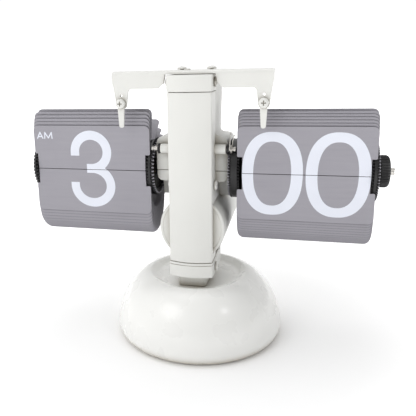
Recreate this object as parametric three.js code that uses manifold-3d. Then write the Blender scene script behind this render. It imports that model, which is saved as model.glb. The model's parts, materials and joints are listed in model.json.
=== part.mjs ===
// Flip number clock: two leaf drums on one axis, carried by a column on a domed base.
// Millimetres, +Z up, +X towards the setting knob, -Y towards the reader.
// The origin is the centre of the base pad.
import * as THREE from 'three';
import { mergeVertices } from 'three/addons/utils/BufferGeometryUtils.js';
import Module from 'manifold-3d';

const wasm = await Module();
wasm.setup();

// ---------------------------------------------------------------- driving dimensions
const GAP = 0.3; // clearance between pieces that touch on the real clock
const REACH = 200; // cutting solids run this far past the clock

// base
const BASE_RADIUS = 50.9; // widest, just above the table
const BASE_FOOT_RADIUS = 47.6;
const BASE_WIDEST_Z = 6.8;
const RIM_RADIUS = 30; // rim of the shallow dish on top
const RIM_Z = 37.8;
const DISH_Z = 35.4;
const DISH_RADIUS = 24.5;
const DOME_POWER = 1.7; // superellipse exponent of the dome's shoulder
const BASE_WALL = 2.5;

// column
const COLUMN_HALF_WIDTH = 12.35;
const COLUMN_CORNER_Y = -24.5;
const COLUMN_NOSE_Y = -26.8;
const COLUMN_SPLIT_Y = -10.6; // front shell ends, rear shell starts
const COLUMN_BOTTOM_Z = 43;
const COLUMN_LOWER_SEAM_Z = 52;
const COLUMN_UPPER_SEAM_Z = 148.4;
const COLUMN_TOP_Z = 157.7;
const CAP_PROUD = 0.3;
const WALL = 1.8;

// leaf drums
const AXIS_Z = 103.1;
const WHEEL_RADIUS = 17.3;
const HINGE_RADIUS = 15.5;
const LEAF_LENGTH = 26.3;
const LEAF_THICKNESS = 0.8;
const LEAF_INNER_X = 25.1;
const LEAF_OUTER_X = 98.05;
const LEAF_PLANE_Y = -15.5;
const NOTCH_HEIGHT = 9.2;
const LEAF_CORNER = 3;
const SHAFT_RADIUS = 2.4;
const SHAFT_BORE = 2.7;
const WHEELS = { // distances of the wheels' two faces from the middle of the clock
  minute: { side: 1, inner: [20.5, 26.2], outer: [95.7, 99.3] },
  hour: { side: -1, inner: [23.9, 27.3], outer: [96.6, 99.4] },
};

// movement housing
const HOUSING_LEFT_X = -22.3;
const HOUSING_RIGHT_X = 19.3;
const HOUSING_BACK_Y = 22;
const HOUSING_BOTTOM_Z = 85;
const HOUSING_TOP_Z = 124;
const WING_BOTTOM_Z = 96.5; // the housing's front wings end higher than its rear
const WING_BACK_Y = 5;

// battery
const BARREL_RADIUS = 19;
const BARREL_Z = 71;
const BARREL_FRONT_Y = -20;
const BARREL_BACK_Y = 50;
const CELL_RADIUS = 17.1;
const CELL_LENGTH = 61.5;

// beam, fingers
const BEAM_HALF_LENGTH = 44.4;
const BEAM_FRONT_Y = -21;
const BEAM_TOP_Z = 160.1;
const BEAM_SHEET = 2;
const ARM_BOTTOM_Z = 150.4;
const FINGER_X = 39.4;
const FINGER_SCREW_Z = 142.5;
const FINGER_TIP_Z = 129.05;

// gears
const PINION_TEETH = 12;
const IDLER_TEETH = 60;
const IDLER_PINION_TEETH = 10;
const HOUR_GEAR_TEETH = 48;
const MINUTE_GEAR_TEETH = 48;
const MOTOR_PINION_TEETH = 12;
const MODULE_MM = 0.4; // gears on the hour side and at the motor
const IDLER_DISTANCE = MODULE_MM * (IDLER_PINION_TEETH + HOUR_GEAR_TEETH) / 2;
const IDLER_MODULE = IDLER_DISTANCE * 2 / (PINION_TEETH + IDLER_TEETH);
const MOTOR_DISTANCE = MODULE_MM * (MOTOR_PINION_TEETH + MINUTE_GEAR_TEETH) / 2;

// ---------------------------------------------------------------- solids
function solidOf(geometry) {
  const bare = geometry.clone();
  bare.deleteAttribute('normal');
  bare.deleteAttribute('uv');
  const merged = mergeVertices(bare, 1e-4);
  const position = merged.attributes.position;
  const index = merged.index.array;
  const triangles = [];
  let volume = 0;
  const a = new THREE.Vector3();
  const b = new THREE.Vector3();
  const c = new THREE.Vector3();
  for (let i = 0; i < index.length; i += 3) {
    const corners = [index[i], index[i + 1], index[i + 2]];
    if (new Set(corners).size < 3) continue;
    a.fromBufferAttribute(position, corners[0]);
    b.fromBufferAttribute(position, corners[1]);
    c.fromBufferAttribute(position, corners[2]);
    volume += a.dot(b.cross(c));
    triangles.push(...corners);
  }
  if (volume < 0) triangles.reverse();
  const mesh = new wasm.Mesh({
    numProp: 3,
    vertProperties: new Float32Array(position.array),
    triVerts: new Uint32Array(triangles),
  });
  return new wasm.Manifold(mesh);
}

function geometryOf(solid) {
  const mesh = solid.getMesh();
  const geometry = new THREE.BufferGeometry();
  const positions = new Float32Array(mesh.vertProperties);
  geometry.setAttribute('position', new THREE.BufferAttribute(positions, 3));
  geometry.setIndex(new THREE.BufferAttribute(new Uint32Array(mesh.triVerts), 1));
  geometry.computeVertexNormals();
  return geometry;
}

function joined(...solids) {
  return solids.reduce((whole, next) => whole.add(next));
}

function box(x, y, z) {
  const geometry = new THREE.BoxGeometry(x[1] - x[0], y[1] - y[0], z[1] - z[0]);
  geometry.translate((x[0] + x[1]) / 2, (y[0] + y[1]) / 2, (z[0] + z[1]) / 2);
  return solidOf(geometry);
}

// axes of a drawing plane: where its first, second and depth directions point
const PLANES = {
  YZ: [[0, 1, 0], [0, 0, 1], [1, 0, 0]],
  XZ: [[1, 0, 0], [0, 0, 1], [0, -1, 0]],
  XY: [[1, 0, 0], [0, 1, 0], [0, 0, 1]],
};

function extruded(shape, plane, from, to, curveSegments = 4) {
  const low = plane === 'XZ' ? -to : from;
  const options = { depth: to - from, bevelEnabled: false, curveSegments };
  const geometry = new THREE.ExtrudeGeometry(shape, options);
  geometry.translate(0, 0, low);
  const axes = PLANES[plane].map((axis) => new THREE.Vector3(...axis));
  geometry.applyMatrix4(new THREE.Matrix4().makeBasis(...axes));
  return solidOf(geometry);
}

// turns a profile of [radius, height] points around the X, Y or Z axis
function turned(profile, axis, segments = 24, centre = [0, 0, 0]) {
  const geometry = new THREE.LatheGeometry(profile.map(([r, h]) => new THREE.Vector2(r, h)), segments);
  if (axis === 'X') geometry.rotateZ(-Math.PI / 2);
  if (axis === 'Z') geometry.rotateX(Math.PI / 2);
  geometry.translate(...centre);
  return solidOf(geometry);
}

function rod(axis, radius, from, to, centre = [0, 0, 0], segments = 24) {
  return turned([[0, from], [radius, from], [radius, to], [0, to]], axis, segments, centre);
}

function ring(axis, bore, radius, from, to, centre = [0, 0, 0], segments = 24) {
  const profile = [[bore, from], [radius, from], [radius, to], [bore, to], [bore, from]];
  return turned(profile, axis, segments, centre);
}

// closed outline from corners [x, y, radius]; a corner with a radius is rounded by an arc-like curve
function outline(corners) {
  const shape = new THREE.Shape();
  const count = corners.length;
  corners.forEach(([x, y, radius = 0], i) => {
    const here = new THREE.Vector2(x, y);
    const before = new THREE.Vector2(...corners[(i + count - 1) % count].slice(0, 2));
    const after = new THREE.Vector2(...corners[(i + 1) % count].slice(0, 2));
    const inward = before.sub(here).normalize();
    const outward = after.sub(here).normalize();
    const half = Math.acos(THREE.MathUtils.clamp(inward.dot(outward), -1, 1)) / 2;
    const setback = radius / Math.tan(half);
    const start = here.clone().addScaledVector(inward, setback);
    const end = here.clone().addScaledVector(outward, setback);
    if (i === 0) shape.moveTo(start.x, start.y);
    else shape.lineTo(start.x, start.y);
    if (radius > 0) shape.quadraticCurveTo(here.x, here.y, end.x, end.y);
  });
  shape.closePath();
  return shape;
}

function hole(shape, x, y, radius) {
  const path = new THREE.Path();
  path.absarc(x, y, radius, 0, 2 * Math.PI, true);
  shape.holes.push(path);
}

// ---------------------------------------------------------------- materials and the scene graph
function finish(color, roughness, metalness = 0) {
  return { color, roughness, metalness };
}

const WHITE_GLOSS = finish(0xf4f4f1, 0.25);
const WHITE_SATIN = finish(0xe6e5e0, 0.4);
const LEAF_GREY = finish(0x9a989e, 0.6);
const BLACK_PLASTIC = finish(0x191819, 0.45);
const STEEL = finish(0xa8a6a2, 0.3, 1);
const BRASS = finish(0xc9a557, 0.35, 1);
const GEAR_WHITE = finish(0xdedbd0, 0.5);
const BOARD_GREEN = finish(0x1f5a37, 0.6);
const CELL_BLUE = finish(0x27415f, 0.4);
const PAD_BLACK = finish(0x222222, 0.9);

const clock = new THREE.Group();

function add(name, solid, look) {
  const mesh = new THREE.Mesh(geometryOf(solid), new THREE.MeshStandardMaterial(look));
  mesh.name = name;
  clock.add(mesh);
}

const SIDES = [['left', -1], ['right', 1]];

// a pair of X limits on the given side of the column
function span(side, near, far) {
  return side < 0 ? [-far, -near] : [near, far];
}

// ---------------------------------------------------------------- base
function domeProfile(inset, steps) {
  const points = [];
  for (let i = 0; i <= steps; i += 1) {
    const t = i / steps * Math.PI / 2;
    const reach = Math.cos(t) ** (2 / DOME_POWER);
    const rise = Math.sin(t) ** (2 / DOME_POWER);
    const radius = RIM_RADIUS + (BASE_RADIUS - RIM_RADIUS) * reach - inset;
    points.push([radius, BASE_WIDEST_Z + (RIM_Z - inset - BASE_WIDEST_Z) * rise]);
  }
  return points;
}

const NECK = { halfWidth: 8.5, frontY: -21.5, backY: 6 };

function makeBase() {
  const shellFootZ = 0.5;
  const boltBore = 4;
  const boltRadius = 3.5;
  const segments = 40;
  const dish = [
    [RIM_RADIUS - 1.2, RIM_Z - 0.4],
    [DISH_RADIUS + 1, DISH_Z + 0.4],
    [DISH_RADIUS - 1.5, DISH_Z],
  ];
  const outer = [[BASE_FOOT_RADIUS, shellFootZ], ...domeProfile(0, 9), ...dish, [boltBore, DISH_Z]];
  const underDish = [[DISH_RADIUS - 1.5, DISH_Z - BASE_WALL], [boltBore, DISH_Z - BASE_WALL]];
  const inner = [[BASE_FOOT_RADIUS - BASE_WALL, shellFootZ], ...domeProfile(BASE_WALL, 4), ...underDish];
  const shell = turned([...outer, ...inner.reverse(), outer[0]], 'Z', segments);
  add('base_shell', shell, WHITE_GLOSS);

  const padRadius = 44.5;
  const padTop = 1.5;
  const plateTop = padTop + GAP + 2.2;
  add('base_pad', rod('Z', padRadius, 0, padTop, [0, 0, 0], 40), PAD_BLACK);
  add('base_bottom_plate', ring('Z', 7.5, padRadius, padTop + GAP, plateTop, [0, 0, 0], 32), BLACK_PLASTIC);

  const headRadius = 6;
  const headTop = plateTop + GAP + 4;
  const weightTop = 18;
  const weightRadius = 41;
  const counterbore = headRadius + 1;
  const weight = turned([
    [counterbore, plateTop + GAP],
    [weightRadius, plateTop + GAP],
    [weightRadius, weightTop - 3],
    [weightRadius - 3, weightTop],
    [boltBore, weightTop],
    [boltBore, headTop + GAP],
    [counterbore, headTop + GAP],
    [counterbore, plateTop + GAP],
  ], 'Z', 32);
  add('base_weight', weight, STEEL);

  const boltTop = COLUMN_BOTTOM_Z + 5;
  const bolt = turned([
    [0, plateTop + GAP],
    [headRadius, plateTop + GAP],
    [headRadius, headTop],
    [boltRadius, headTop],
    [boltRadius, boltTop],
    [0, boltTop],
  ], 'Z', 16);
  add('base_bolt', bolt, STEEL);

  const neckTop = COLUMN_BOTTOM_Z + 7;
  const { halfWidth, frontY, backY } = NECK;
  const neckPlan = outline([
    [-halfWidth, frontY, 3], [halfWidth, frontY, 3], [halfWidth, backY, 3], [-halfWidth, backY, 3],
  ]);
  const neck = extruded(neckPlan, 'XY', DISH_Z + GAP, neckTop);
  const blindBore = rod('Z', boltBore, 0, boltTop + GAP, [0, 0, 0], 16);
  add('neck_post', neck.subtract(blindBore), WHITE_SATIN);
}

// ---------------------------------------------------------------- column
// plan of the column's bowed front and flat sides, drawn in from the outside by inset
function columnPlan(inset, backY) {
  const half = COLUMN_HALF_WIDTH - inset;
  const cornerY = COLUMN_CORNER_Y + inset;
  const noseY = COLUMN_NOSE_Y + inset;
  const corner = 1.2; // rounded edge between the side and the bowed face
  const shape = new THREE.Shape();
  shape.moveTo(half, backY);
  shape.lineTo(-half, backY);
  shape.lineTo(-half, cornerY + corner);
  shape.quadraticCurveTo(-half, cornerY, -half + corner, cornerY - 0.2);
  shape.quadraticCurveTo(0, 2 * noseY - cornerY + 0.2, half - corner, cornerY - 0.2);
  shape.quadraticCurveTo(half, cornerY, half, cornerY + corner);
  shape.closePath();
  return shape;
}

const SCREW_HEAD_RADIUS = 2.75;
const SCREW_SHANK_RADIUS = 1.1;
const SCREW_HOLE_RADIUS = 1.5;
const SIDE_SHANK_LENGTH = 3.4;

// round head screw along +X from its seat, with a crossed recess, before it is put in place
function screwSolid(shankLength) {
  const headHeight = 1.7;
  const recess = 0.9;
  const blade = 0.35;
  const reach = 1.3;
  const profile = [
    [0, -shankLength],
    [SCREW_SHANK_RADIUS, -shankLength],
    [SCREW_SHANK_RADIUS, 0],
    [SCREW_HEAD_RADIUS, 0],
    [SCREW_HEAD_RADIUS, headHeight * 0.35],
    [SCREW_HEAD_RADIUS * 0.7, headHeight * 0.85],
    [0, headHeight],
  ];
  const depth = [headHeight - recess, headHeight + 1];
  const upright = box(depth, [-blade, blade], [-reach, reach]);
  const level = box(depth, [-reach, reach], [-blade, blade]);
  return turned(profile, 'X', 10).subtract(joined(upright, level));
}

// screw heads point along +X, -X, -Y or +Z
function placedScrew(direction, seat, shankLength) {
  const turns = { '+X': [0, 0, 0], '-X': [0, 0, 180], '-Y': [0, 0, -90], '+Z': [0, -90, 0] };
  return screwSolid(shankLength).rotate(turns[direction]).translate(seat);
}

const SIDE_SCREWS = { // height and depth of each screw in the column's side
  top: { y: -16.5, z: 153.6 },
  middle: { y: -16, z: 96 },
  bottom: { y: -14, z: 46.2 },
};

function sideHoles(name, radius) {
  const { y, z } = SIDE_SCREWS[name];
  return rod('X', radius, -REACH, REACH, [0, y, z], 12);
}

const CROSS_TUBE = { y: -14, z: 116.3, radius: 2.7, halfLength: 18.9 };

function makeColumn() {
  const seam = 0.3;
  const seams = [COLUMN_LOWER_SEAM_Z, COLUMN_UPPER_SEAM_Z];
  const frontOuter = extruded(columnPlan(0, COLUMN_SPLIT_Y), 'XY', ...seams, 5);
  const frontInner = extruded(columnPlan(WALL, COLUMN_SPLIT_Y + 5), 'XY', 0, REACH, 4);
  const barrelRoom = rod('Y', BARREL_RADIUS + GAP, BARREL_FRONT_Y - GAP, REACH, [0, 0, BARREL_Z], 40);
  const tubeHole = rod('X', CROSS_TUBE.radius + GAP, -REACH, REACH, [0, CROSS_TUBE.y, CROSS_TUBE.z], 16);
  const front = frontOuter
    .subtract(frontInner)
    .subtract(barrelRoom)
    .subtract(tubeHole)
    .subtract(sideHoles('middle', SCREW_HOLE_RADIUS));
  add('column_front_shell', front, WHITE_SATIN);

  const capFloor = 2;
  const topOuter = extruded(
    columnPlan(-CAP_PROUD, COLUMN_SPLIT_Y), 'XY', COLUMN_UPPER_SEAM_Z + seam, COLUMN_TOP_Z, 5,
  );
  const topRoom = extruded(
    columnPlan(2.2, COLUMN_SPLIT_Y - 2), 'XY', COLUMN_UPPER_SEAM_Z - 1, COLUMN_TOP_Z - capFloor, 4,
  );
  const topCap = topOuter.subtract(topRoom).subtract(sideHoles('top', SCREW_HOLE_RADIUS));
  add('column_top_cap', topCap, WHITE_SATIN);

  const bottomBackY = 6.8;
  const bottomOuter = extruded(
    columnPlan(-CAP_PROUD, bottomBackY + 1.8), 'XY', COLUMN_BOTTOM_Z, COLUMN_LOWER_SEAM_Z - seam, 5,
  );
  const bottomRoom = extruded(columnPlan(2.2, bottomBackY), 'XY', COLUMN_BOTTOM_Z + capFloor, REACH, 4);
  const neckSide = NECK.halfWidth + GAP + 0.1;
  const neckRoom = box([-neckSide, neckSide], [NECK.frontY - GAP - 0.1, NECK.backY + GAP + 0.1], [0, 60]);
  const bottomCap = bottomOuter
    .subtract(bottomRoom)
    .subtract(neckRoom)
    .subtract(barrelRoom)
    .subtract(sideHoles('bottom', SCREW_HOLE_RADIUS));
  add('column_bottom_cap', bottomCap, WHITE_SATIN);

  SIDES.forEach(([sideName, side]) => {
    Object.entries(SIDE_SCREWS).forEach(([level, { y, z }]) => {
      const proud = level === 'middle' ? 0 : CAP_PROUD;
      const seatX = side * (COLUMN_HALF_WIDTH + proud + GAP);
      const direction = side < 0 ? '-X' : '+X';
      const screw = placedScrew(direction, [seatX, y, z], SIDE_SHANK_LENGTH);
      add(`side_screw_${level}_${sideName}`, screw, WHITE_SATIN);
    });
  });
}

// ---------------------------------------------------------------- rear shell and movement housing
const SHAFT_ROOM_RADIUS = 3.8; // opening round the drum shafts and their bushes

function makeHousing() {
  const backAtTopY = 16;
  const backAtWaistY = 12.2;
  const waistZ = 127;
  const slopeTopZ = 145;
  const half = COLUMN_HALF_WIDTH + 0.05; // rear shell, a hair proud of the front one
  const corner = 4;
  const shoulderZ = HOUSING_TOP_Z - 2;
  const seatZ = AXIS_Z + GAP / 2; // the two housing shells part at the shaft's height
  const rimZ = AXIS_Z - GAP / 2;
  const shaftRoom = rod('X', SHAFT_ROOM_RADIUS, -REACH, REACH, [0, 0, AXIS_Z], 16);

  // back of the column above the housing, seen from the side
  function backProfile(inset, bottomZ) {
    return outline([
      [COLUMN_SPLIT_Y - inset * 4, bottomZ],
      [backAtWaistY - inset, bottomZ],
      [backAtWaistY - inset, waistZ],
      [backAtTopY - inset, slopeTopZ],
      [backAtTopY - inset, COLUMN_TOP_Z - inset, 2],
      [COLUMN_SPLIT_Y - inset * 4, COLUMN_TOP_Z - inset],
    ]);
  }

  // front view of the housing with its flared shoulders; inset draws it in by a wall
  function flaredProfile(inset, bottomZ) {
    const left = HOUSING_LEFT_X + inset;
    const right = HOUSING_RIGHT_X - inset;
    const narrow = half - inset;
    const top = HOUSING_TOP_Z - inset;
    return outline([
      [left, bottomZ], [right, bottomZ], [right, shoulderZ - inset, corner], [narrow, top, 2],
      [narrow, top + 5], [-narrow, top + 5], [-narrow, top, 2], [left, shoulderZ - inset, corner],
    ]);
  }

  const upperOuter = joined(
    extruded(backProfile(0, HOUSING_TOP_Z), 'YZ', -half, half),
    extruded(flaredProfile(0, seatZ), 'XZ', COLUMN_SPLIT_Y, backAtWaistY, 3),
    extruded(outline([
      [HOUSING_LEFT_X, seatZ], [HOUSING_RIGHT_X, seatZ],
      [HOUSING_RIGHT_X, shoulderZ, corner], [HOUSING_LEFT_X, shoulderZ, corner],
    ]), 'XZ', 0, HOUSING_BACK_Y, 3),
  );
  const insideX = [HOUSING_LEFT_X + WALL, HOUSING_RIGHT_X - WALL];
  const insideBackY = HOUSING_BACK_Y - WALL;
  const columnX = [-half + WALL, half - WALL];
  const openFrontY = [COLUMN_SPLIT_Y - 1, 0]; // the shells are open towards the column's front shell
  const upperRoom = joined(
    extruded(backProfile(WALL, HOUSING_TOP_Z - 4), 'YZ', ...columnX),
    extruded(flaredProfile(WALL, seatZ - 1), 'XZ', COLUMN_SPLIT_Y + WALL, backAtWaistY - WALL, 3),
    box(insideX, [0, insideBackY], [seatZ - 1, shoulderZ - 2 - WALL]),
    box(columnX, openFrontY, [seatZ - 1, COLUMN_UPPER_SEAM_Z]),
  );
  const upper = upperOuter.subtract(upperRoom).subtract(shaftRoom).subtract(beamScrewHoles());
  add('column_rear_shell', upper, WHITE_SATIN);

  const floorZ = BARREL_Z + BARREL_RADIUS + GAP + WALL;
  const wings = outline([
    [HOUSING_LEFT_X, WING_BOTTOM_Z, corner], [HOUSING_RIGHT_X, WING_BOTTOM_Z, corner],
    [HOUSING_RIGHT_X, rimZ], [HOUSING_LEFT_X, rimZ],
  ]);
  const wingFrontY = COLUMN_SPLIT_Y + 0.1;
  const lowerOuter = joined(
    extruded(wings, 'XZ', wingFrontY, WING_BACK_Y + 1, 3),
    box([-half, half], [wingFrontY, WING_BACK_Y + 1], [HOUSING_BOTTOM_Z, rimZ]),
    box([HOUSING_LEFT_X, HOUSING_RIGHT_X], [WING_BACK_Y, HOUSING_BACK_Y], [HOUSING_BOTTOM_Z, rimZ]),
  );
  const lowerRoom = joined(
    box(insideX, [COLUMN_SPLIT_Y + WALL, insideBackY], [WING_BOTTOM_Z + WALL, REACH]),
    box(insideX, [WING_BACK_Y + WALL, insideBackY], [floorZ, REACH]),
    box(columnX, [COLUMN_SPLIT_Y - 1, insideBackY], [floorZ, REACH]),
  );
  const saddle = rod('Y', BARREL_RADIUS + GAP, -REACH, REACH, [0, 0, BARREL_Z], 40);
  const lower = lowerOuter.subtract(lowerRoom).subtract(shaftRoom).subtract(saddle);
  add('movement_housing', lower, WHITE_SATIN);
}

// ---------------------------------------------------------------- beam and fingers
const BEAM_SCREW_X = 8.6;

function beamScrewHoles() {
  return joined(...SIDES.map(([, side]) => (
    rod('Z', SCREW_HOLE_RADIUS, BEAM_TOP_Z - 10, BEAM_TOP_Z + 10, [side * BEAM_SCREW_X, 0, 0], 12)
  )));
}

function makeBeam() {
  const webBackY = 9;
  const armWebBackY = -8;
  const bend = 2.6;
  const armEndX = 14.4;

  // folded sheet seen from the side: top web and front flange
  const fold = outline([
    [webBackY, BEAM_TOP_Z], [BEAM_FRONT_Y, BEAM_TOP_Z, bend], [BEAM_FRONT_Y, 100],
    [BEAM_FRONT_Y + BEAM_SHEET, 100], [BEAM_FRONT_Y + BEAM_SHEET, BEAM_TOP_Z - BEAM_SHEET, 0.6],
    [webBackY, BEAM_TOP_Z - BEAM_SHEET],
  ]);
  const sheet = extruded(fold, 'YZ', -BEAM_HALF_LENGTH, BEAM_HALF_LENGTH, 3);

  // one arm with its hanging leg, seen from the front on the right side
  const legInnerX = 35.2;
  const bossX = 3.1;
  const webBottom = BEAM_TOP_Z - BEAM_SHEET;
  const arm = outline([
    [-1, webBottom], [armEndX - 0.4, webBottom], [armEndX + 0.4, ARM_BOTTOM_Z + 3, 1.5],
    [armEndX + 3.6, ARM_BOTTOM_Z, 1], [legInnerX, ARM_BOTTOM_Z, 2],
    [FINGER_X - bossX, FINGER_SCREW_Z], [FINGER_X - bossX, FINGER_SCREW_Z - 3.1, 2.4],
    [FINGER_X + bossX, FINGER_SCREW_Z - 3.1, 2.4], [FINGER_X + bossX, FINGER_SCREW_Z],
    [BEAM_HALF_LENGTH, ARM_BOTTOM_Z + 4], [BEAM_HALF_LENGTH, BEAM_TOP_Z, 0.8], [-1, BEAM_TOP_Z],
  ]);
  hole(arm, FINGER_X, FINGER_SCREW_Z, SCREW_HOLE_RADIUS);
  hole(arm, FINGER_X, FINGER_SCREW_Z + 4.3, 0.7);
  const rightArm = extruded(arm, 'XZ', -REACH, REACH, 3);
  const front = joined(rightArm, rightArm.mirror([1, 0, 0]));

  // the web seen from above, narrower along the arms than over the column
  const half = outline([
    [-1, -REACH], [BEAM_HALF_LENGTH, -REACH], [BEAM_HALF_LENGTH, armWebBackY, 2],
    [22, armWebBackY, 3], [15, webBackY, 2], [-1, webBackY],
  ]);
  const rightPlan = extruded(half, 'XY', 0, REACH);
  const plan = joined(rightPlan, rightPlan.mirror([1, 0, 0]));

  const rivet = rod('Z', 1.6, BEAM_TOP_Z - 1, BEAM_TOP_Z + 0.9, [-2.5, -14, 0], 12);
  const beam = sheet.intersect(front).intersect(plan).subtract(beamScrewHoles()).add(rivet);
  add('beam_bracket', beam, WHITE_SATIN);

  const fingerBackY = BEAM_FRONT_Y - GAP;
  const fingerFrontY = fingerBackY - 1;
  const eyeletHalf = 2.6;
  const rootHalf = 2.1;
  const tipHalf = 1.3;
  SIDES.forEach(([sideName, side]) => {
    const x = side * FINGER_X;
    const blade = outline([
      [x - rootHalf, FINGER_SCREW_Z], [x - tipHalf, FINGER_TIP_Z, 1.1],
      [x + tipHalf, FINGER_TIP_Z, 1.1], [x + rootHalf, FINGER_SCREW_Z],
    ]);
    const finger = extruded(blade, 'XZ', fingerFrontY, fingerBackY)
      .add(rod('Y', eyeletHalf, fingerFrontY, fingerBackY, [x, 0, FINGER_SCREW_Z], 16))
      .subtract(rod('Y', SCREW_HOLE_RADIUS, -REACH, REACH, [x, 0, FINGER_SCREW_Z], 12));
    add(`finger_${sideName}`, finger, WHITE_SATIN);
    const seat = [x, fingerFrontY - GAP, FINGER_SCREW_Z];
    add(`finger_screw_${sideName}`, placedScrew('-Y', seat, 4), WHITE_SATIN);
    const beamSeat = [side * BEAM_SCREW_X, 0, BEAM_TOP_Z + GAP];
    add(`beam_screw_${sideName}`, placedScrew('+Z', beamSeat, 6), WHITE_SATIN);
  });
}

// ---------------------------------------------------------------- cross tube
function makeCrossTube() {
  const { y, z, radius, halfLength } = CROSS_TUBE;
  const rodRadius = 1.4;
  const rodHalf = 24.4;
  const centre = [0, y, z];
  add('cross_tube', ring('X', rodRadius + GAP, radius, -halfLength, halfLength, centre, 16), WHITE_SATIN);
  add('cross_rod', rod('X', rodRadius, -rodHalf, rodHalf, centre, 12), STEEL);
  SIDES.forEach(([sideName, side]) => {
    const limits = span(side, halfLength + GAP, halfLength + GAP + 1.2);
    add(`cross_washer_${sideName}`, ring('X', rodRadius + GAP, 3, ...limits, centre, 16), BLACK_PLASTIC);
  });
}

// ---------------------------------------------------------------- gears
// straight-flanked gear with backlash, drawn in the YZ plane; a tooth is centred at the phase angle
function gearSolid(teeth, moduleMm, phase, centre, from, to) {
  const tipRadius = moduleMm * (teeth / 2 + 0.8);
  const rootRadius = moduleMm * (teeth / 2 - 1.1);
  const pitch = 2 * Math.PI / teeth;
  const rootHalf = 0.27 * pitch;
  const tipHalf = 0.11 * pitch;
  const corners = [];
  for (let i = 0; i < teeth; i += 1) {
    const middle = phase + i * pitch;
    [[rootRadius, -rootHalf], [tipRadius, -tipHalf], [tipRadius, tipHalf], [rootRadius, rootHalf]]
      .forEach(([radius, offset]) => {
        const angle = middle + offset;
        corners.push([centre[0] + radius * Math.cos(angle), centre[1] + radius * Math.sin(angle)]);
      });
  }
  return extruded(outline(corners), 'YZ', from, to);
}

const THIN_SHAFT_RADIUS = 1.4; // where the gears sit
const THIN_SHAFT_BORE = 1.7;
const MINUTE_GEAR_X = [2.8, 4.8];
const FIRST_STAGE_X = [5.6, 7.6]; // minute pinion and the idler's large gear
const HOUR_STAGE_X = [-4.8, -2.8]; // idler's pinion and the hour gear
const UP = Math.PI / 2;
const IDLER_CENTRE = [0, AXIS_Z + IDLER_DISTANCE];
const AXIS_CENTRE = [0, AXIS_Z];
const MOTOR_CENTRE = [MOTOR_DISTANCE, AXIS_Z];

function makeMovement() {
  const onAxis = [0, 0, AXIS_Z];
  const gearBore = rod('X', THIN_SHAFT_BORE, -REACH, REACH, onAxis, 12);
  const wallFaces = [HOUSING_LEFT_X + WALL, HOUSING_RIGHT_X - WALL]; // inner faces of the side walls
  const minuteGear = gearSolid(MINUTE_GEAR_TEETH, MODULE_MM, 0, AXIS_CENTRE, ...MINUTE_GEAR_X)
    .subtract(gearBore);
  add('minute_gear', minuteGear, GEAR_WHITE);

  const hourPhase = UP + Math.PI / HOUR_GEAR_TEETH;
  const hourGear = gearSolid(HOUR_GEAR_TEETH, MODULE_MM, hourPhase, AXIS_CENTRE, ...HOUR_STAGE_X)
    .subtract(gearBore);
  add('hour_gear', hourGear, GEAR_WHITE);

  const idlerPhase = -UP + Math.PI / IDLER_TEETH;
  const idler = joined(
    gearSolid(IDLER_TEETH, IDLER_MODULE, idlerPhase, IDLER_CENTRE, ...FIRST_STAGE_X),
    gearSolid(IDLER_PINION_TEETH, MODULE_MM, -UP, IDLER_CENTRE, ...HOUR_STAGE_X),
    rod('X', 1, wallFaces[0] + GAP, wallFaces[1] - GAP, [0, ...IDLER_CENTRE], 12),
  );
  add('idler_gear', idler, GEAR_WHITE);

  const motorPinion = gearSolid(
    MOTOR_PINION_TEETH, MODULE_MM, Math.PI + Math.PI / MOTOR_PINION_TEETH, MOTOR_CENTRE, ...MINUTE_GEAR_X,
  ).add(rod('X', 0.9, MINUTE_GEAR_X[0], 8, [0, ...MOTOR_CENTRE], 12));
  add('motor_pinion', motorPinion, BRASS);

  const motorFace = 8.3;
  add('drive_motor', rod('X', 6.3, motorFace, wallFaces[1] - GAP, [0, ...MOTOR_CENTRE], 20), STEEL);

  const boardY = [-19.8, -18.4];
  add('circuit_board', box([-9.4, 9.4], boardY, [94, 142]), BOARD_GREEN);

  SIDES.forEach(([sideName, side]) => {
    const wallFace = Math.abs(wallFaces[side < 0 ? 0 : 1]);
    const limits = span(side, wallFace - 0.6, wallFace + WALL + 0.4);
    add(`shaft_bush_${sideName}`, ring('X', SHAFT_BORE, 3.5, ...limits, onAxis, 16), BRASS);
  });
}

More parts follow.
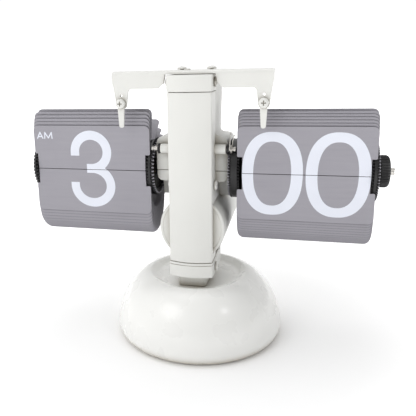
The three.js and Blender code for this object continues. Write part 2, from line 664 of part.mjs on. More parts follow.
// ---------------------------------------------------------------- battery
function makeBattery() {
  const barrelBore = BARREL_RADIUS - 1.6;
  const barrelFloorY = BARREL_FRONT_Y + 1.8;
  const centre = [0, 0, BARREL_Z];
  const barrel = turned([
    [0, BARREL_FRONT_Y],
    [BARREL_RADIUS - 1, BARREL_FRONT_Y],
    [BARREL_RADIUS, BARREL_FRONT_Y + 1],
    [BARREL_RADIUS, BARREL_BACK_Y],
    [barrelBore, BARREL_BACK_Y],
    [barrelBore, barrelFloorY],
    [0, barrelFloorY],
  ], 'Y', 40, centre);
  add('battery_barrel', barrel, WHITE_SATIN);

  const plateBack = barrelFloorY + GAP + 0.5;
  add('contact_plate', rod('Y', 6, barrelFloorY + GAP, plateBack, centre, 12), BRASS);

  const cellFront = plateBack + GAP;
  const nub = 1.6;
  const cell = turned([
    [0, cellFront],
    [4.7, cellFront],
    [4.7, cellFront + nub],
    [CELL_RADIUS - 1, cellFront + nub],
    [CELL_RADIUS, cellFront + nub + 1],
    [CELL_RADIUS, cellFront + CELL_LENGTH - 1],
    [CELL_RADIUS - 1, cellFront + CELL_LENGTH],
    [0, cellFront + CELL_LENGTH],
  ], 'Y', 32, centre);
  add('battery_cell', cell, CELL_BLUE);

  const capInnerY = BARREL_BACK_Y + GAP;
  const capBackY = capInnerY + 3.4;
  const cap = joined(
    turned([
      [0, capInnerY],
      [BARREL_RADIUS, capInnerY],
      [BARREL_RADIUS, capBackY - 1],
      [BARREL_RADIUS - 1, capBackY],
      [0, capBackY],
    ], 'Y', 40, centre),
    box([-13, 13], [capBackY - 1, capBackY + 2.2], [BARREL_Z - 1.8, BARREL_Z + 1.8]),
  );
  add('battery_cap', cap, WHITE_SATIN);

  class ContactCoil extends THREE.Curve {
    getPoint(t) {
      const radius = 9 - 5 * t;
      const angle = 2 * Math.PI * 3 * t;
      const y = capInnerY - GAP - 0.5 - (capInnerY - cellFront - CELL_LENGTH - 1.6) * t;
      return new THREE.Vector3(radius * Math.cos(angle), y, BARREL_Z + radius * Math.sin(angle));
    }
  }
  const wire = new THREE.Shape();
  wire.absarc(0, 0, 0.45, 0, 2 * Math.PI, false);
  const coilOptions = { steps: 36, extrudePath: new ContactCoil(), curveSegments: 3 };
  const coil = new THREE.ExtrudeGeometry(wire, coilOptions);
  add('contact_spring', solidOf(coil), STEEL);
}

// ---------------------------------------------------------------- drums
// wheel with a thick rim, a thinner web and a hub
function wheelSolid(side, limits) {
  const [near, far] = limits;
  const middle = (near + far) / 2;
  const web = Math.min(0.9, (far - near) / 4);
  const rimBore = 13.6;
  const hubRadius = 5.2;
  const profile = [
    [SHAFT_BORE, near], [hubRadius, near],
    [hubRadius, middle - web], [rimBore, middle - web],
    [rimBore, near], [WHEEL_RADIUS, near],
    [WHEEL_RADIUS, far], [rimBore, far],
    [rimBore, middle + web], [hubRadius, middle + web],
    [hubRadius, far], [SHAFT_BORE, far], [SHAFT_BORE, near],
  ];
  const wheel = turned(profile, 'X', 24, [0, 0, AXIS_Z]);
  return side < 0 ? wheel.mirror([1, 0, 0]) : wheel;
}

function makeDrum(name) {
  const onAxis = [0, 0, AXIS_Z];
  const { side, inner, outer } = WHEELS[name];
  const hubLimits = span(side, inner[1] + GAP, outer[0] - GAP);
  add(`${name}_wheel_inner`, wheelSolid(side, inner), BLACK_PLASTIC);
  add(`${name}_wheel_outer`, wheelSolid(side, outer), BLACK_PLASTIC);
  add(`${name}_hub`, ring('X', SHAFT_BORE, 6, ...hubLimits, onAxis, 20), BLACK_PLASTIC);
}

function makeDrums() {
  const onAxis = [0, 0, AXIS_Z];
  const shaftEndGap = 0.8;
  makeDrum('minute');
  makeDrum('hour');

  // minute shaft: thin end for the gear, cut pinion, thick part for the drum, slotted tip
  const tipX = 109.3;
  const tipRadius = 2;
  const kneeX = 106;
  const pinionPhase = UP;
  const minuteShaft = joined(
    rod('X', THIN_SHAFT_RADIUS, shaftEndGap, FIRST_STAGE_X[1], onAxis, 16),
    gearSolid(PINION_TEETH, IDLER_MODULE, pinionPhase, AXIS_CENTRE, ...FIRST_STAGE_X),
    rod('X', SHAFT_RADIUS, FIRST_STAGE_X[1] + 0.6, kneeX, onAxis, 16),
    rod('X', THIN_SHAFT_RADIUS, FIRST_STAGE_X[1] - 0.5, FIRST_STAGE_X[1] + 1, onAxis, 16),
    rod('X', tipRadius, kneeX - 1, tipX, onAxis, 16),
  ).subtract(box([tipX - 1, tipX + 1], [-5, 5], [AXIS_Z - 0.35, AXIS_Z + 0.35]));
  add('minute_shaft', minuteShaft, STEEL);

  const hourShaft = joined(
    rod('X', THIN_SHAFT_RADIUS, -6, -shaftEndGap, onAxis, 16),
    rod('X', SHAFT_RADIUS, -(WHEELS.hour.outer[1] + 0.8), -5.2, onAxis, 16),
  );
  add('hour_shaft', hourShaft, STEEL);

  // knob: fine ribs, drawn around the axis, with a crowned outer face
  const knobX = [100.9, 106.8];
  const knobRadius = 9;
  const ribs = 24;
  const ribDepth = 0.7;
  const corners = [];
  for (let i = 0; i < ribs; i += 1) {
    const angle = i / ribs * 2 * Math.PI;
    const step = Math.PI / ribs;
    [[knobRadius, -0.25], [knobRadius, 0.35], [knobRadius - ribDepth, 0.8], [knobRadius - ribDepth, 1.3]]
      .forEach(([radius, share]) => {
        const at = angle + share * step;
        corners.push([radius * Math.cos(at), AXIS_Z + radius * Math.sin(at)]);
      });
  }
  const crown = turned([
    [0, knobX[0] - 1], [knobRadius + 1, knobX[0] - 1], [knobRadius + 1, knobX[1] - 1.6],
    [knobRadius - 1, knobX[1] - 0.4], [5, knobX[1]], [0, knobX[1]],
  ], 'X', 24, onAxis);
  const knob = extruded(outline(corners), 'YZ', ...knobX)
    .intersect(crown)
    .subtract(rod('X', SHAFT_BORE, -REACH, REACH, onAxis, 16));
  add('setting_knob', knob, BLACK_PLASTIC);
}

// ---------------------------------------------------------------- leaves
// one leaf standing up from the hinge line, notched at its two ends for the wheels
function leafShape(side, outerNotchX) {
  const innerNotchX = 28;
  const bottom = AXIS_Z + GAP / 2;
  const notchTop = AXIS_Z + NOTCH_HEIGHT;
  const top = AXIS_Z + LEAF_LENGTH;
  const corners = [
    [innerNotchX, bottom], [outerNotchX, bottom], [outerNotchX, notchTop], [LEAF_OUTER_X, notchTop, 0.8],
    [LEAF_OUTER_X, top, LEAF_CORNER], [LEAF_INNER_X, top, LEAF_CORNER], [LEAF_INNER_X, notchTop, 0.8],
    [innerNotchX, notchTop],
  ];
  return outline(corners.map(([x, z, radius]) => [side * x, z, radius]));
}

function pointOnDrum(degrees, radius) {
  const angle = THREE.MathUtils.degToRad(degrees);
  return [-radius * Math.cos(angle), AXIS_Z + radius * Math.sin(angle)];
}

// hinge angle (0 at the front, 90 on top) and lean (90 upright, 180 flat to the back,
// 270 hanging) of the leaves at the edge of each pack
function leafTip(hingeDegrees, leanDegrees) {
  const [y, z] = pointOnDrum(hingeDegrees, HINGE_RADIUS);
  const lean = THREE.MathUtils.degToRad(leanDegrees);
  return [y - LEAF_LENGTH * Math.cos(lean), z + LEAF_LENGTH * Math.sin(lean)];
}

function arcPoints(fromDegrees, toDegrees, steps, radius) {
  const points = [];
  for (let i = 0; i <= steps; i += 1) {
    points.push(pointOnDrum(fromDegrees + (toDegrees - fromDegrees) * i / steps, radius));
  }
  return points;
}

// leaves that wait above the front one, and leaves that lie back, hang down behind
// and have fallen in front
function packOutlines() {
  const packInner = HINGE_RADIUS - 0.5;
  const packFrontY = LEAF_PLANE_Y + LEAF_THICKNESS / 2 + GAP;
  const waiting = outline([
    ...arcPoints(38, 19, 3, packInner),
    [packFrontY, AXIS_Z + 2],
    [packFrontY, AXIS_Z + LEAF_LENGTH],
    leafTip(15, 90),
    leafTip(30, 91),
    leafTip(39, 100),
  ]);
  const fallen = outline([
    ...arcPoints(45, 341, 16, packInner),
    [packFrontY, AXIS_Z - 2],
    [packFrontY, AXIS_Z - LEAF_LENGTH],
    leafTip(330, 270),
    leafTip(300, 270),
    leafTip(270, 270),
    leafTip(240, 270),
    leafTip(210, 270),
    leafTip(180, 268),
    leafTip(150, 258),
    leafTip(120, 238),
    leafTip(90, 208),
    leafTip(65, 176),
    leafTip(45, 141),
  ]);
  return { waiting, fallen };
}

function makeLeaves(name) {
  const { side, inner, outer } = WHEELS[name];
  const outerNotchX = outer[0] - 0.35;
  const room = WHEEL_RADIUS + 0.4;
  const front = LEAF_PLANE_Y - LEAF_THICKNESS / 2;
  const back = LEAF_PLANE_Y + LEAF_THICKNESS / 2;
  const upper = extruded(leafShape(side, outerNotchX), 'XZ', front, back, 3);
  const lower = upper.translate([0, 0, -AXIS_Z]).mirror([0, 0, 1]).translate([0, 0, AXIS_Z]);
  add(`${name}_leaf_upper`, upper, LEAF_GREY);
  add(`${name}_leaf_lower`, lower, LEAF_GREY);

  const wheelRooms = joined(
    rod('X', room, ...span(side, 0, inner[1] + 0.4), [0, 0, AXIS_Z], 32),
    rod('X', room, ...span(side, outerNotchX, REACH), [0, 0, AXIS_Z], 32),
  );
  Object.entries(packOutlines()).forEach(([state, shape]) => {
    const pack = extruded(shape, 'YZ', ...span(side, LEAF_INNER_X, LEAF_OUTER_X), 2).subtract(wheelRooms);
    add(`${name}_leaves_${state}`, pack, LEAF_GREY);
  });
}

// ---------------------------------------------------------------- the clock
makeBase();
makeColumn();
makeHousing();
makeBeam();
makeCrossTube();
makeMovement();
makeBattery();
makeDrums();
makeLeaves('minute');
makeLeaves('hour');

export default clock;
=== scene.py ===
import json
import math
from contextlib import contextmanager

import bmesh
import bpy
from mathutils import Matrix, Vector


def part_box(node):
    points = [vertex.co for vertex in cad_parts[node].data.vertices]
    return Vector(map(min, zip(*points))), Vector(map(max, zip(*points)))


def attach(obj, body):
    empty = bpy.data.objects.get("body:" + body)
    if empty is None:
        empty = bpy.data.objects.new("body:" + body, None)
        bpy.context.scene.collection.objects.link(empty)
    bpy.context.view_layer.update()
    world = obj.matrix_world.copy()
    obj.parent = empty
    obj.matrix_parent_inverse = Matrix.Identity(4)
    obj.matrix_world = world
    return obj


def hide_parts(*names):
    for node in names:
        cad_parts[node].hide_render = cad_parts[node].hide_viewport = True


# Looks of the flip number clock: fine meshes, materials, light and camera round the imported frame.
# Lengths are in millimetres until solid() makes a mesh of them; the frame and Blender are in metres.

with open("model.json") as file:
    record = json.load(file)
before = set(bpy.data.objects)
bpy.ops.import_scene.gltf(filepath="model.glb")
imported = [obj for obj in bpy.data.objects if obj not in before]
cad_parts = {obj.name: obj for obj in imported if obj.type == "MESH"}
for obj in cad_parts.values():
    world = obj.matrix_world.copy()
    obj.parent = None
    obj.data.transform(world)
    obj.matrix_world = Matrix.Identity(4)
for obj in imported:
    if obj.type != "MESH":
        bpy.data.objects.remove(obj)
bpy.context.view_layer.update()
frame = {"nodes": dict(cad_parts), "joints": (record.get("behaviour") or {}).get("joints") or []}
MM = 0.001


def extent(node):
    """Lowest and highest corner of a CAD node, in millimetres."""
    low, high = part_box(node)
    return [value / MM for value in low], [value / MM for value in high]


# ---- shared dimensions
JOINTS = {joint["name"]: joint for joint in frame["joints"]}
AXIS_Z = JOINTS["minute_spin"]["pos_m"][2] / MM
FLIP_Y = JOINTS["minute_leaf_flip"]["pos_m"][1] / MM
COLUMN_LOW, COLUMN_HIGH = extent("column_front_shell")
LEAF_LOW, LEAF_HIGH = extent("minute_leaf_upper")
LEAF_FRONT_Y = LEAF_LOW[1]
LEAF_LENGTH = LEAF_HIGH[2] - AXIS_Z
HINGE_RADIUS = 15.5
WHEEL_RADIUS = extent("minute_wheel_inner")[1][1]
SIDES = {"left": -1, "right": 1}


# ---- outlines
def rounded(corners, steps=6):
    """Points of a closed outline from corners (x, y) or (x, y, radius), with true arcs at the radii."""
    points = []
    for i, corner in enumerate(corners):
        here = Vector(corner[:2])
        if len(corner) < 3:
            points.append(tuple(here))
            continue
        inward = (Vector(corners[i - 1][:2]) - here).normalized()
        outward = (Vector(corners[(i + 1) % len(corners)][:2]) - here).normalized()
        half = inward.angle(outward) / 2
        centre = here + (inward + outward).normalized() * corner[2] / math.sin(half)
        setback = corner[2] / math.tan(half)
        start = here + inward * setback - centre
        end = here + outward * setback - centre
        turn = start.angle_signed(end)
        for k in range(steps + 1):
            arm = Matrix.Rotation(-turn * k / steps, 2) @ start
            points.append(tuple(centre + arm))
    return points


def oval(centre, radii, start, end, steps, power=2.0):
    """Points of an oval's arc between two angles in degrees; power 2 is an ellipse, more is squarer."""
    points = []
    for k in range(steps + 1):
        angle = math.radians(start + (end - start) * k / steps)
        across, up = math.cos(angle), math.sin(angle)
        points.append((
            centre[0] + radii[0] * math.copysign(abs(across) ** (2 / power), across),
            centre[1] + radii[1] * math.copysign(abs(up) ** (2 / power), up),
        ))
    return points


def bow(start, control, end, steps):
    """Points of a quadratic curve, without its last point."""
    points = []
    for k in range(steps):
        t = k / steps
        points.append(tuple(
            (1 - t) ** 2 * a + 2 * t * (1 - t) * b + t * t * c for a, b, c in zip(start, control, end)
        ))
    return points


# ---- solids
@contextmanager
def edited(mesh):
    """A bmesh of a mesh, written back to it at the end."""
    work = bmesh.new()
    work.from_mesh(mesh)
    yield work
    work.to_mesh(mesh)
    work.free()


def linked(mesh):
    """A new object with a mesh, in the scene."""
    made = bpy.data.objects.new("solid", mesh)
    bpy.context.scene.collection.objects.link(made)
    return made


def solid(vertices, faces):
    """A closed mesh object from points in millimetres, with its faces pointing out."""
    mesh = bpy.data.meshes.new("solid")
    mesh.from_pydata([Vector(point) * MM for point in vertices], [], faces)
    with edited(mesh) as work:
        bmesh.ops.recalc_face_normals(work, faces=work.faces)
    return linked(mesh)


PLANES = {
    "YZ": lambda a, b, depth: (depth, a, b),
    "XZ": lambda a, b, depth: (a, depth, b),
    "XY": lambda a, b, depth: (a, b, depth),
}


def prism(points, plane, low, high):
    place = PLANES[plane]
    count = len(points)
    vertices = [place(a, b, depth) for depth in (low, high) for a, b in points]
    faces = [list(range(count)), list(range(count, 2 * count))]
    for i in range(count):
        j = (i + 1) % count
        faces.append((i, j, count + j, count + i))
    return solid(vertices, faces)


def band(outer, inner, plane, low, high):
    """A prism with a hole, between two outlines of the same number of points."""
    place = PLANES[plane]
    count = len(outer)
    vertices = [place(a, b, depth) for depth in (low, high) for loop in (outer, inner) for a, b in loop]
    faces = []
    for i in range(count):
        j = (i + 1) % count
        faces.append((i, j, count + j, count + i))
        faces.append((2 * count + i, 2 * count + j, 3 * count + j, 3 * count + i))
        faces.append((i, j, 2 * count + j, 2 * count + i))
        faces.append((count + i, count + j, 3 * count + j, 3 * count + i))
    return solid(vertices, faces)


AXES = {
    "X": lambda across, up, along: (along, across, up),
    "Y": lambda across, up, along: (across, along, up),
    "Z": lambda across, up, along: (across, up, along),
}


def turned(profile, axis, centre=(0, 0, 0), segments=64, ripple=None):
    """Turns (radius, height) points round an axis. The profile starts and ends on it, or closes on itself.
    ripple(angle) is added to the radius of points that have a third value, times that value."""
    closed = profile[0] == profile[-1]
    rings = profile[:-1] if closed else profile
    vertices = []
    starts = []
    for ring in rings:
        starts.append(len(vertices))
        for k in range(segments if ring[0] > 0 else 1):
            angle = 2 * math.pi * k / segments
            radius = ring[0] + (ring[2] * ripple(angle) if len(ring) > 2 else 0)
            local = AXES[axis](radius * math.cos(angle), radius * math.sin(angle), ring[1])
            vertices.append([a + b for a, b in zip(local, centre)])
    faces = []
    for i in range(len(rings) if closed else len(rings) - 1):
        j = (i + 1) % len(rings)
        for k in range(segments):
            m = (k + 1) % segments
            corners = []
            for ring, steps in ((i, (k, m)), (j, (m, k))):
                for step in steps:
                    corner = starts[ring] + (step if rings[ring][0] > 0 else 0)
                    if corner not in corners:
                        corners.append(corner)
            if len(corners) > 2:
                faces.append(corners)
    return solid(vertices, faces)


def rod(axis, radius, low, high, centre=(0, 0, 0), edge=0.0, segments=48):
    """A round bar, its ends chamfered by edge."""
    side = [(radius, low), (radius, high)]
    if edge > 0:
        side = [(radius - edge, low), (radius, low + edge), (radius, high - edge), (radius - edge, high)]
    return turned([(0, low), *side, (0, high)], axis, centre, segments)


def hoop(axis, bore, radius, low, high, centre=(0, 0, 0), edge=0.15, segments=64):
    """A ring with chamfered rims."""
    profile = [
        (bore, low + edge), (bore + edge, low), (radius - edge, low), (radius, low + edge),
        (radius, high - edge), (radius - edge, high), (bore + edge, high), (bore, high - edge),
        (bore, low + edge),
    ]
    return turned(profile, axis, centre, segments)


def block(x, y, z):
    return prism([(x[0], y[0]), (x[1], y[0]), (x[1], y[1]), (x[0], y[1])], "XY", z[0], z[1])


def wire(path, radius, sides=8):
    """A round wire along points, closed at its two ends."""
    points = [Vector(point) for point in path]
    vertices = []
    side = None
    for i, point in enumerate(points):
        along = (points[min(i + 1, len(points) - 1)] - points[max(i - 1, 0)]).normalized()
        if side is None:
            side = along.orthogonal().normalized()
        side = (side - along * side.dot(along)).normalized()
        other = along.cross(side)
        for k in range(sides):
            angle = 2 * math.pi * k / sides
            vertices.append(point + (side * math.cos(angle) + other * math.sin(angle)) * radius)
    faces = [list(range(sides)), list(range(len(vertices) - sides, len(vertices)))]
    for i in range(len(points) - 1):
        for k in range(sides):
            m = (k + 1) % sides
            faces.append((i * sides + k, i * sides + m, (i + 1) * sides + m, (i + 1) * sides + k))
    return solid(vertices, faces)


def discard(thing):
    mesh = thing.data
    bpy.data.objects.remove(thing)
    bpy.data.meshes.remove(mesh)


def gathered(*solids):
    """Several solids as one mesh object, without cutting them into each other."""
    first, *rest = solids
    with edited(first.data) as work:
        for part in rest:
            work.from_mesh(part.data)
    for part in rest:
        discard(part)
    return first


def combined(target, cutters, operation="DIFFERENCE"):
    """The target cut by, joined with or limited to each of the cutters in turn, which are used up."""
    for cutter in cutters:
        change = target.modifiers.new("shape", "BOOLEAN")
        change.operation = operation
        change.object = cutter
        change.solver = "EXACT"
    depsgraph = bpy.context.evaluated_depsgraph_get()
    mesh = bpy.data.meshes.new_from_object(target.evaluated_get(depsgraph))
    target.modifiers.clear()
    old = target.data
    target.data = mesh
    bpy.data.meshes.remove(old)
    for cutter in cutters:
        discard(cutter)
    return target


def copied(node):
    """A CAD node's mesh as a new object, with its split vertices merged and its flat faces made whole."""
    mesh = frame["nodes"][node].data.copy()
    mesh.materials.clear()
    with edited(mesh) as work:
        bmesh.ops.remove_doubles(work, verts=work.verts, dist=0.00001 * MM)
        bmesh.ops.dissolve_limit(work, angle_limit=math.radians(1), verts=work.verts, edges=work.edges)
    return linked(mesh)


def keep_shape(*rows):
    """Pieces with a CAD node's own shape, from rows of node, name, look, bevel and, off the root, body."""
    for node, name, look, bevel, *body in rows:
        piece(copied(node), name, look, *body, stands_for=[node], bevel=bevel)


def turned_over(thing, matrix):
    """The solid moved by a matrix whose lengths are in millimetres."""
    scaled = matrix.copy()
    scaled.translation *= MM
    thing.data.transform(scaled)
    if matrix.determinant() < 0:
        thing.data.flip_normals()
    return thing


def piece(thing, name, look, body="root", stands_for=(), bevel=0.0, steps=2, sharp=38):
    """Names a solid, gives it its look and its place on a body, and softens its edges."""
    thing.name = name
    thing.data.name = name
    thing.data.materials.clear()
    thing.data.materials.append(LOOKS[look])
    with edited(thing.data) as work:
        bmesh.ops.remove_doubles(work, verts=work.verts, dist=0.0005 * MM)
        for face in work.faces:
            face.smooth = True
        if bevel == 0:
            for edge in work.edges:
                edge.smooth = edge.calc_face_angle(0) < math.radians(sharp)
    if bevel > 0:
        soften = thing.modifiers.new("soft_edges", "BEVEL")
        soften.width = bevel * MM
        soften.segments = steps
        soften.limit_method = "ANGLE"
        soften.angle_limit = math.radians(sharp)
        soften.harden_normals = True
        soften.use_clamp_overlap = True
    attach(thing, body)
    if stands_for:
        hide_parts(*stands_for)
    return thing


# ---- materials
def linear(red, green, blue):
    """Linear colour from eight-bit screen values."""
    values = []
    for value in (red, green, blue):
        share = value / 255
        values.append(share / 12.92 if share <= 0.04045 else ((share + 0.055) / 1.055) ** 2.4)
    return (*values, 1.0)


WHITE = (1, 1, 1, 1)


def map_range(tree, value, low, high, start, end, curve="LINEAR"):
    """The output of a node that maps a value from start..end to low..high."""
    node = tree.nodes.new("ShaderNodeMapRange")
    node.interpolation_type = curve
    limits = {"From Min": start, "From Max": end, "To Min": low, "To Max": high}
    for name, limit in limits.items():
        node.inputs[name].default_value = limit
    tree.links.new(value, node.inputs["Value"])
    return node.outputs["Result"]


class Surface:
    """A principled material with node helpers. Texture scales are per metre of the object's space."""

    def __init__(self, name, metallic=0.0, coat=0.0, coat_roughness=0.1, specular=0.5):
        self.material = bpy.data.materials.new(name)
        self.material.use_nodes = True
        self.nodes = self.material.node_tree.nodes
        self.links = self.material.node_tree.links
        self.shader = self.nodes["Principled BSDF"]
        self.shader.inputs["Metallic"].default_value = metallic
        self.shader.inputs["Coat Weight"].default_value = coat
        self.shader.inputs["Coat Roughness"].default_value = coat_roughness
        self.shader.inputs["Specular IOR Level"].default_value = specular
        self.place = self.nodes.new("ShaderNodeTexCoord").outputs["Object"]

    def texture(self, kind, output, place=None, **settings):
        """The output of a node that reads a place, by default the object's own."""
        node = self.nodes.new(kind)
        for name, value in settings.items():
            node.inputs[name].default_value = value
        self.links.new(place or self.place, node.inputs["Vector"])
        return node.outputs[output]

    def stretched(self, factors):
        return self.texture("ShaderNodeMapping", "Vector", Scale=factors)

    def noise(self, scale, detail=2.0, place=None):
        return self.texture("ShaderNodeTexNoise", "Fac", place, Scale=scale, Detail=detail)

    def cells(self, scale, place=None):
        return self.texture("ShaderNodeTexVoronoi", "Distance", place, Scale=scale)

    def ranged(self, value, low, high, start=0.3, end=0.7):
        return map_range(self.material.node_tree, value, low, high, start, end)

    def mixed(self, share, first, second, blend="MIX"):
        """Two colours blended by a share. Each of the three is a constant or another node's output."""
        node = self.nodes.new("ShaderNodeMix")
        node.data_type = "RGBA"
        node.blend_type = blend
        colours = [socket for socket in node.inputs if socket.type == "RGBA"]
        for socket, value in zip((node.inputs["Factor"], *colours), (share, first, second)):
            if isinstance(value, (tuple, float)):
                socket.default_value = value
            else:
                self.links.new(value, socket)
        return next(socket for socket in node.outputs if socket.type == "RGBA")

    def clouds(self, scale, detail, colour, spread):
        """A colour that drifts a little darker and lighter from place to place."""
        return self.mixed(self.ranged(self.noise(scale, detail), 0, 1), *shades(colour, spread))

    def paint(self, value, shade_reach=0.0, shade_tint=WHITE):
        """Sets the colour. Painted shade darkens corners narrower than the reach in millimetres, towards
        the tint.
        """
        if shade_reach > 0:
            # painted shade: ambient occlusion darkens the colour in narrow corners
            corner = self.nodes.new("ShaderNodeAmbientOcclusion")
            corner.samples = 8
            corner.inputs["Distance"].default_value = shade_reach * MM
            unshaded = self.ranged(corner.outputs["AO"], 0, 1, 0.35, 0.95)
            value = self.mixed(1.0, value, self.mixed(unshaded, shade_tint, WHITE), "MULTIPLY")
        self.links.new(value, self.shader.inputs["Base Color"])

    def polish(self, share, low, high):
        """Sets the roughness, which drifts between two values."""
        self.links.new(self.ranged(share, low, high), self.shader.inputs["Roughness"])

    def relief(self, *layers):
        """Bumps stacked on each other from (height, depth in millimetres) pairs."""
        below = None
        for height, depth in layers:
            node = self.nodes.new("ShaderNodeBump")
            node.inputs["Distance"].default_value = depth * MM
            self.links.new(height, node.inputs["Height"])
            if below:
                self.links.new(below, node.inputs["Normal"])
            below = node.outputs["Normal"]
        self.links.new(below, self.shader.inputs["Normal"])


def shades(colour, spread):
    """A darker and a lighter version of a linear colour."""
    return tuple(
        tuple(min(1.0, value * factor) for value in colour[:3]) + (1.0,)
        for factor in (1 - spread, 1 + spread)
    )


def moulded(name, colour, roughness, spread, grain, depth, waves=0.02, corners=(), **settings):
    """Moulded plastic: cloudy tone, handled sheen, fine spark grain over a faint flow waviness and, if
    corners is given, painted shade in corners.
    """
    look = Surface(name, **settings)
    # corners, if given, paints shade into corners: its reach in millimetres and its tint
    look.paint(look.clouds(35, 3, colour, spread), *corners)
    look.polish(look.noise(60, 4), roughness - 0.05, roughness + 0.06)
    look.relief((look.noise(180, 1), waves), (look.noise(grain, 2), depth))
    return look.material


PAINTED_SHADE_BEIGE = linear(203, 197, 187)  # painted shade: the tint of the deepest corners of the white parts


def white_gloss():
    return moulded(
        "white_gloss", linear(238, 238, 235), 0.28, spread=0.008, grain=900, depth=0.003, waves=0.003,
        # painted shade in corners within 7 mm, such as where the neck meets the dish
        coat=0.35, coat_roughness=0.12, corners=(7, PAINTED_SHADE_BEIGE),
    )


def white_satin():
    return moulded(
        "white_satin", linear(216, 216, 212), 0.42, spread=0.018, grain=4200, depth=0.01,
        # painted shade in corners within 5 mm
        corners=(5, PAINTED_SHADE_BEIGE),
    )


def white_metal():
    """Satin paint on metal: orange peel, with a few pinholes, and painted shade in its corners."""
    look = Surface("white_metal", coat=0.15, coat_roughness=0.25)
    # painted shade in corners within 4 mm
    look.paint(look.clouds(50, 3, linear(217, 217, 213), 0.018), 4, PAINTED_SHADE_BEIGE)
    look.polish(look.noise(90, 3), 0.33, 0.44)
    pinholes = look.ranged(look.cells(350), 0, 1, 0.02, 0.07)
    look.relief((look.noise(700, 2), 0.012), (pinholes, 0.01))
    return look.material


def leaf_grey():
    """Matt sheet with a rolled grain along the leaf, a slight change of tone from place to place and
    painted shade in the narrow gaps between the leaves.
    """
    look = Surface("leaf_grey", specular=0.35)
    streaks = look.noise(500, 3, look.stretched((0.08, 1, 1)))
    tone = look.clouds(28, 3, linear(150, 148, 155), 0.03)
    streaked = look.mixed(look.ranged(streaks, 0, 0.16), tone, linear(170, 168, 175))
    # painted shade: narrow gaps between the leaves darken towards this dark grey
    look.paint(streaked, 1.1, linear(80, 77, 82))
    look.polish(look.noise(120, 4), 0.5, 0.64)
    look.relief((streaks, 0.006), (look.noise(5200, 2), 0.008))
    return look.material


def numeral_white():
    """Screen-printed ink: fine mesh marks and a soft edge of tone."""
    look = Surface("numeral_white", specular=0.35)
    look.paint(look.clouds(90, 4, linear(220, 223, 233), 0.015))
    look.polish(look.noise(300, 2), 0.45, 0.58)
    look.relief((look.cells(3600), 0.006))
    return look.material


def black_plastic():
    return moulded("black_plastic", linear(19, 18, 20), 0.42, spread=0.22, grain=3600, depth=0.012)


def turned_metal(name, colour, roughness, axis_factors):
    """Metal with tool marks drawn out along one direction."""
    look = Surface(name, metallic=1.0)
    marks = look.noise(2600, 3, look.stretched(axis_factors))
    look.paint(look.clouds(70, 4, colour, 0.1))
    look.polish(marks, roughness - 0.08, roughness + 0.1)
    look.relief((marks, 0.004))
    return look.material


def steel():
    return turned_metal("steel", linear(196, 193, 188), 0.3, (1, 0.06, 0.06))


def brass():
    return turned_metal("brass", linear(206, 172, 98), 0.32, (1, 0.06, 0.06))


def cast_weight():
    """Rough sand casting with darker pits."""
    look = Surface("cast_weight", metallic=0.6)
    pits = look.ranged(look.cells(420), 0, 1, 0.1, 0.5)
    look.paint(look.mixed(pits, linear(44, 42, 40), linear(78, 76, 73)))
    look.polish(look.noise(300, 4), 0.55, 0.8)
    look.relief((look.noise(500, 5), 0.12), (pits, 0.08))
    return look.material


def gear_white():
    return moulded("gear_white", linear(222, 219, 207), 0.38, spread=0.025, grain=2500, depth=0.006)


def board_green():
    """Solder mask over copper tracks that show as slightly raised lines."""
    look = Surface("board_green", coat=0.3, coat_roughness=0.2)
    tracks = look.ranged(look.cells(260, look.stretched((1, 1, 0.35))), 0, 1, 0.28, 0.34)
    look.paint(look.mixed(tracks, linear(22, 84, 50), linear(42, 118, 74)))
    look.polish(look.noise(150, 3), 0.3, 0.45)
    look.relief((tracks, 0.03))
    return look.material


def cell_jacket():
    """Printed jacket: a dark body with one copper band at its nub end."""
    look = Surface("cell_jacket", coat=0.5, coat_roughness=0.1)
    along = look.nodes.new("ShaderNodeSeparateXYZ")
    look.links.new(look.place, along.inputs["Vector"])
    low, high = extent("battery_cell")
    band_end = low[1] + (high[1] - low[1]) * 0.24
    share = look.ranged(along.outputs["Y"], 0, 1, (band_end - 0.1) * MM, (band_end + 0.1) * MM)
    body = look.clouds(60, 3, linear(33, 38, 48), 0.08)
    look.paint(look.mixed(share, linear(178, 118, 70), body))
    look.polish(look.noise(90, 3), 0.22, 0.34)
    look.relief((look.noise(800, 2), 0.008))
    return look.material


def pad_rubber():
    """Closed-cell foam rubber."""
    look = Surface("pad_rubber", specular=0.25)
    cells = look.cells(1500)
    look.paint(look.mixed(look.ranged(cells, 0, 1, 0.1, 0.6), linear(24, 24, 25), linear(46, 46, 47)))
    look.polish(look.noise(200, 3), 0.78, 0.92)
    look.relief((cells, 0.08))
    return look.material


def floor_white():
    """A pale table that is lit up towards its far edges, so it runs into the white backdrop."""
    look = Surface("floor_white", specular=0.2)
    away = look.nodes.new("ShaderNodeVectorMath")
    away.operation = "LENGTH"
    look.links.new(look.place, away.inputs[0])
    glow = look.ranged(away.outputs["Value"], GLOW_NEAR, GLOW_FAR, 0.1, 0.5)
    look.shader.inputs["Emission Color"].default_value = WHITE
    look.links.new(glow, look.shader.inputs["Emission Strength"])
    look.paint(look.clouds(3, 3, linear(250, 250, 250), 0.006))
    look.polish(look.noise(12, 3), 0.65, 0.75)
    return look.material


GLOW_NEAR, GLOW_FAR = 0.05, 0.8  # light that the floor gives off by the clock and far from it


LOOKS = {make.__name__: make() for make in (
    white_gloss, white_satin, white_metal, leaf_grey, numeral_white, black_plastic, steel, brass,
    cast_weight, gear_white, board_green, cell_jacket, pad_rubber, floor_white,
)}


